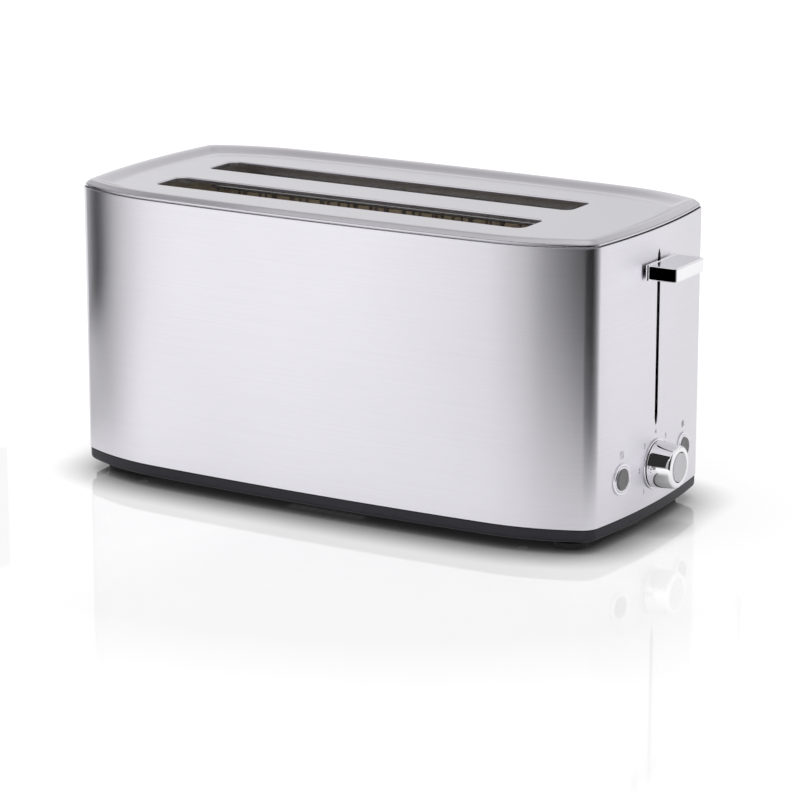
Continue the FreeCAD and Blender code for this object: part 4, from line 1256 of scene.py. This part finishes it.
def floor_finish():
    """Glossy white lacquer, with a painted shadow close to what stands on it and a painted glow further out."""
    white = (floor_white,) * 3
    tree, shader = new_finish("floor_lacquer", white, floor_gloss, Specular_IOR_Level=0.4)
    haze = pattern(tree, (3, 3, 3), detail=2)
    gloss = spread(tree, haze, floor_gloss * 0.8, floor_gloss * 1.2)
    tree.links.new(gloss, shader.inputs["Roughness"])
    path = add(tree, "ShaderNodeLightPath").outputs
    mirror_ray = calc(tree, "ADD", path["Is Glossy Ray"], path["Is Transmission Ray"], clamp=True)
    # Painted shadow: ambient occlusion darkens the floor's colour, and its glow for the camera, near the toaster.
    painted_contact = add(tree, "ShaderNodeAmbientOcclusion", {"Distance": painted_contact_reach}, samples=16).outputs["AO"]
    painted_contact = calc(tree, "POWER", painted_contact, painted_contact_power)
    # For the camera the lit colour counts only at floor_share; the painted glow makes up the rest.
    lit = add(tree, "ShaderNodeMix", {0: path["Is Camera Ray"], 2: 1.0, 3: floor_share}).outputs[0]
    values = {0: white, "Scale": calc(tree, "MULTIPLY", lit, painted_contact)}
    shaded = add(tree, "ShaderNodeVectorMath", values, operation="SCALE").outputs["Vector"]
    tree.links.new(shaded, shader.inputs["Base Color"])
    place = add(tree, "ShaderNodeTexCoord").outputs["Object"]
    away = add(tree, "ShaderNodeVectorMath", {0: place}, operation="LENGTH").outputs["Value"]
    # Painted light: glow for reflections and for the camera, by distance and by side.
    mirror_glow = spread(tree, away, near_glow, far_glow, glow_start, glow_stop)
    mirror_glow = calc(tree, "MULTIPLY", mirror_glow, by_azimuth(tree, place, glow_sides))
    seen_glow = spread(tree, away, seen_near, seen_far, seen_start, seen_stop)
    seen_glow = calc(tree, "MULTIPLY", seen_glow, by_azimuth(tree, place, seen_sides))
    seen = calc(tree, "MULTIPLY", path["Is Camera Ray"], calc(tree, "MULTIPLY", seen_glow, painted_contact))
    glow = calc(tree, "ADD", seen, calc(tree, "MULTIPLY", mirror_ray, mirror_glow))
    shader.inputs["Emission Color"].default_value = (1, 1, 1, 1)
    tree.links.new(glow, shader.inputs["Emission Strength"])


floor_size = 16
floor_finish()
deselect()
bpy.ops.mesh.primitive_plane_add(size=floor_size, location=(0, 0, 0))
floor = started("studio_floor")
floor.data.materials.append(finishes["floor_lacquer"])
print("floor:", floor_size, "m square")

# %% [markdown]
# ## Dark cards
# Steel looks like steel only if it has something dark to reflect. Two curved black cards stand close to
# the near side's two corners, and a fainter one stands under the far card. Only reflections see them. Each
# has stops of (azimuth, how much of it shows), so its edges fade, and the sleeve's dark bands fade too.


# %% What sees a card
def card_finish(name, tone, reach, centre=None, stops=None):
    """One tone, which only a first reflection sees, from behind the card and from no further than a reach."""
    finish = bpy.data.materials.new(name)
    finish.use_nodes = True
    tree = finish.node_tree
    tree.nodes.clear()
    path = add(tree, "ShaderNodeLightPath").outputs
    first = calc(tree, "LESS_THAN", path["Ray Depth"], 1.5)
    close = calc(tree, "LESS_THAN", path["Ray Length"], reach)
    behind = add(tree, "ShaderNodeNewGeometry").outputs["Backfacing"]
    seen = calc(tree, "MULTIPLY", calc(tree, "MULTIPLY", first, close), behind)
    if stops:
        place = add(tree, "ShaderNodeTexCoord").outputs["Object"]
        seen = calc(tree, "MULTIPLY", seen, by_azimuth(tree, place, stops, centre))
    clear = add(tree, "ShaderNodeBsdfTransparent").outputs[0]
    shown = add(tree, "ShaderNodeEmission", {"Color": (tone, tone, tone, 1), "Strength": 1.0}).outputs[0]
    mixed = add(tree, "ShaderNodeMixShader", {0: seen, 1: clear, 2: shown})
    add(tree, "ShaderNodeOutputMaterial", {"Surface": mixed.outputs[0]})
    return finish


def for_mirrors(piece, finish):
    """Gives a card its finish, and leaves it to reflections alone."""
    piece.data.materials.append(finish)
    piece.visible_camera = False
    piece.visible_diffuse = False
    piece.visible_transmission = False
    piece.visible_shadow = False


print("card finishes: seen from behind and close by")

# %% Curved cards
card_reach = 400 * MM
card_columns = 64


def card(name, centre, radii, bottom, top, stops):
    """A curved card round a centre. Radii and stops go by azimuth, and its front faces outwards."""
    deselect()
    bpy.ops.mesh.primitive_grid_add(x_subdivisions=card_columns, y_subdivisions=1, size=1)
    piece = started(name)
    for vertex in piece.data.vertices:
        azimuth = stops[0][0] + (stops[-1][0] - stops[0][0]) * (vertex.co.x + 0.5)
        radius = float(np.interp(azimuth, *zip(*radii)))
        angle = math.radians(azimuth)
        z = bottom + (top - bottom) * (vertex.co.y + 0.5)
        vertex.co = (centre[0] + radius * math.sin(angle), centre[1] - radius * math.cos(angle), z)
    for_mirrors(piece, card_finish(name, 0.0, card_reach, centre, stops))


near_corner = (sleeve_high.x - 20 * MM, -half_width + 18 * MM)
near_radii = [(10, 230 * MM), (45, 105 * MM)]
near_stops = [(-60, 0), (-40, 0.1), (-24, 0.28), (-10, 0.47), (0, 0.74), (11, 0.9), (27, 1), (80, 1)]
near_stops += [(101, 0.83), (114, 0.56), (125, 0.2), (134, 0)]
near_bottom = 28 * MM
far_corner = (sleeve_low.x + 8 * MM, -half_width + 15 * MM)
far_radii = [(-90, 85 * MM)]
far_stops = [(-96, 0), (-91, 0.2), (-87, 1), (-72, 1), (-66, 0.82), (-53, 0.5), (-38, 0.32)]
far_stops += [(-14, 0.15), (14, 0)]
grey_stops = [(-105, 0.4), (-74, 0.46), (-62, 0.46), (-50, 0.36), (-30, 0.14), (-10, 0)]
far_bottom = 85 * MM
card_top = 600 * MM
card("near_card", near_corner, near_radii, near_bottom, card_top, near_stops)
card("far_card", far_corner, far_radii, far_bottom, card_top, far_stops)
card("far_grey_card", far_corner, far_radii, 0, far_bottom, grey_stops)
print("cards: three, up to", round(1000 * card_top), "mm")

# %% [markdown]
# Chrome is a sharper mirror than brushed steel, so small dark flags close beside the lever and the knob
# draw the crisp dark bands that make it read as chrome.


# %% Flags beside the chrome
flag_reach = 60 * MM


def flag(name, y, low, high, tone):
    """A small dark upright card at a y, between two (x, z) corners. It is seen only from its far side."""
    deselect()
    middle = ((low[0] + high[0]) / 2, y, (low[1] + high[1]) / 2)
    bpy.ops.mesh.primitive_plane_add(size=1, location=middle, rotation=(math.pi / 2, 0, 0))
    piece = started(name)
    piece.scale = (high[0] - low[0], high[1] - low[1], 1)
    settle(piece)
    for_mirrors(piece, card_finish(name, tone, flag_reach))


black_tone, dark_tone = 0.0, 0.03
lever_flag_low = (lever_low.x - 14 * MM, 150 * MM)
lever_flag_high = (lever_high.x + 2 * MM, 180 * MM)
flag("lever_flag", lever_low.y - 5 * MM, lever_flag_low, lever_flag_high, black_tone)
knob_flag_low = (knob_root - 6 * MM, control_z + 2.6 * MM)
knob_flag_high = (knob_high.x - 4 * MM, control_z + 24 * MM)
flag("knob_flag", -knob_radius - 2 * MM, knob_flag_low, knob_flag_high, dark_tone)
print("flags: two")

# %% [markdown]
# ## Studio light
# The room is a white dome. Diffuse light from it and one large soft lamp above give the plain level and
# a soft shadow, which the floor's painted shadow deepens close to the toaster. Mirrors see the same dome
# with one broad grey zone on the left and softer ones behind, by stops of (azimuth, tone). Behind the
# toaster its tone also changes with height.


# %% Dome
dome_plain = 0.72
dome_peak = 1.05
dome_zones = [(-180, 0.85), (-158, 0.88), (-142, 1.03), (-120, 0.7), (-93, 0.7), (-86, 0.98), (-45, 1.02)]
dome_zones += [(100, 1.0), (130, 1.04), (150, 0.95), (165, 0.88), (180, 0.85)]
dome_behind = [(0, 0.68), (0.1, 0.72), (0.22, 0.95), (0.3, 1), (0.45, 1), (0.7, 0.72), (0.88, 0.72)]
dome_behind += [(0.98, 1)]
behind_full = 0.3


def dome():
    """World light: white for the camera, a plain level for diffuse light, zones by direction for mirrors."""
    world = bpy.data.worlds.new("white_dome")
    bpy.context.scene.world = world
    world.use_nodes = True
    tree = world.node_tree
    tree.nodes.clear()
    direction = add(tree, "ShaderNodeTexCoord").outputs["Generated"]
    around = by_azimuth(tree, direction, [(a, tone / dome_peak) for a, tone in dome_zones])
    split = add(tree, "ShaderNodeSeparateXYZ", {0: direction}).outputs
    above = by_stops(tree, split["Z"], dome_behind)
    behind = spread(tree, split["Y"], 0, 1, 0, behind_full)
    fade = add(tree, "ShaderNodeMix", {0: behind, 2: 1.0, 3: above}).outputs[0]
    tone = calc(tree, "MULTIPLY", around, fade)
    path = add(tree, "ShaderNodeLightPath").outputs
    plain = add(tree, "ShaderNodeBackground", {"Color": (1, 1, 1, 1), "Strength": dome_plain}).outputs[0]
    mirrored = add(tree, "ShaderNodeBackground", {"Color": tone, "Strength": dome_peak}).outputs[0]
    white = add(tree, "ShaderNodeBackground", {"Color": (1, 1, 1, 1), "Strength": 1.0}).outputs[0]
    first = add(tree, "ShaderNodeMixShader", {0: path["Is Glossy Ray"], 1: plain, 2: mirrored}).outputs[0]
    either = calc(tree, "ADD", path["Is Camera Ray"], path["Is Transmission Ray"], clamp=True)
    second = add(tree, "ShaderNodeMixShader", {0: either, 1: first, 2: white}).outputs[0]
    add(tree, "ShaderNodeOutputWorld", {"Surface": second})


dome()
print("dome: plain level", dome_plain)


# %% Lamp above
def soft_lamp(name, place, size, watts):
    """A square lamp that points at the toaster and stays out of its reflections."""
    deselect()
    bpy.ops.object.light_add(type="AREA", location=place)
    lamp = bpy.context.active_object
    lamp.name = name
    lamp.data.size = size
    lamp.data.energy = watts
    aim = Vector((0, 0, aim_height)) - Vector(place)
    lamp.rotation_euler = aim.to_track_quat("-Z", "Y").to_euler()
    lamp.visible_glossy = False
    lamp.visible_camera = False


aim_height = 0.1
lamp_place = (-0.5, -0.5, 1.7)
lamp_size = 1.3
lamp_watts = 9
soft_lamp("top_lamp", lamp_place, lamp_size, lamp_watts)
print("lamp: one, above and to the left")

# %% [markdown]
# ## Camera
# The photograph looks down by about fifteen degrees, from the right of the near side, through a long lens.

# %% Camera at the photograph's angle
yaw = math.radians(30.68)
pitch = math.radians(14.96)
distance = 2.153
lens = 150.13
sensor = 36
target = Vector((-0.0002, 0, 0.0567))
back = Vector((math.sin(yaw) * math.cos(pitch), -math.cos(yaw) * math.cos(pitch), math.sin(pitch)))
deselect()
bpy.ops.object.camera_add(location=target + back * distance)
camera = bpy.context.active_object
camera.rotation_euler = (-back).to_track_quat("-Z", "Y").to_euler()
camera.data.sensor_width = sensor
camera.data.lens = lens
bpy.context.scene.camera = camera
bpy.context.scene.view_settings.view_transform = "Standard"
print("camera:", round(distance, 2), "m away")
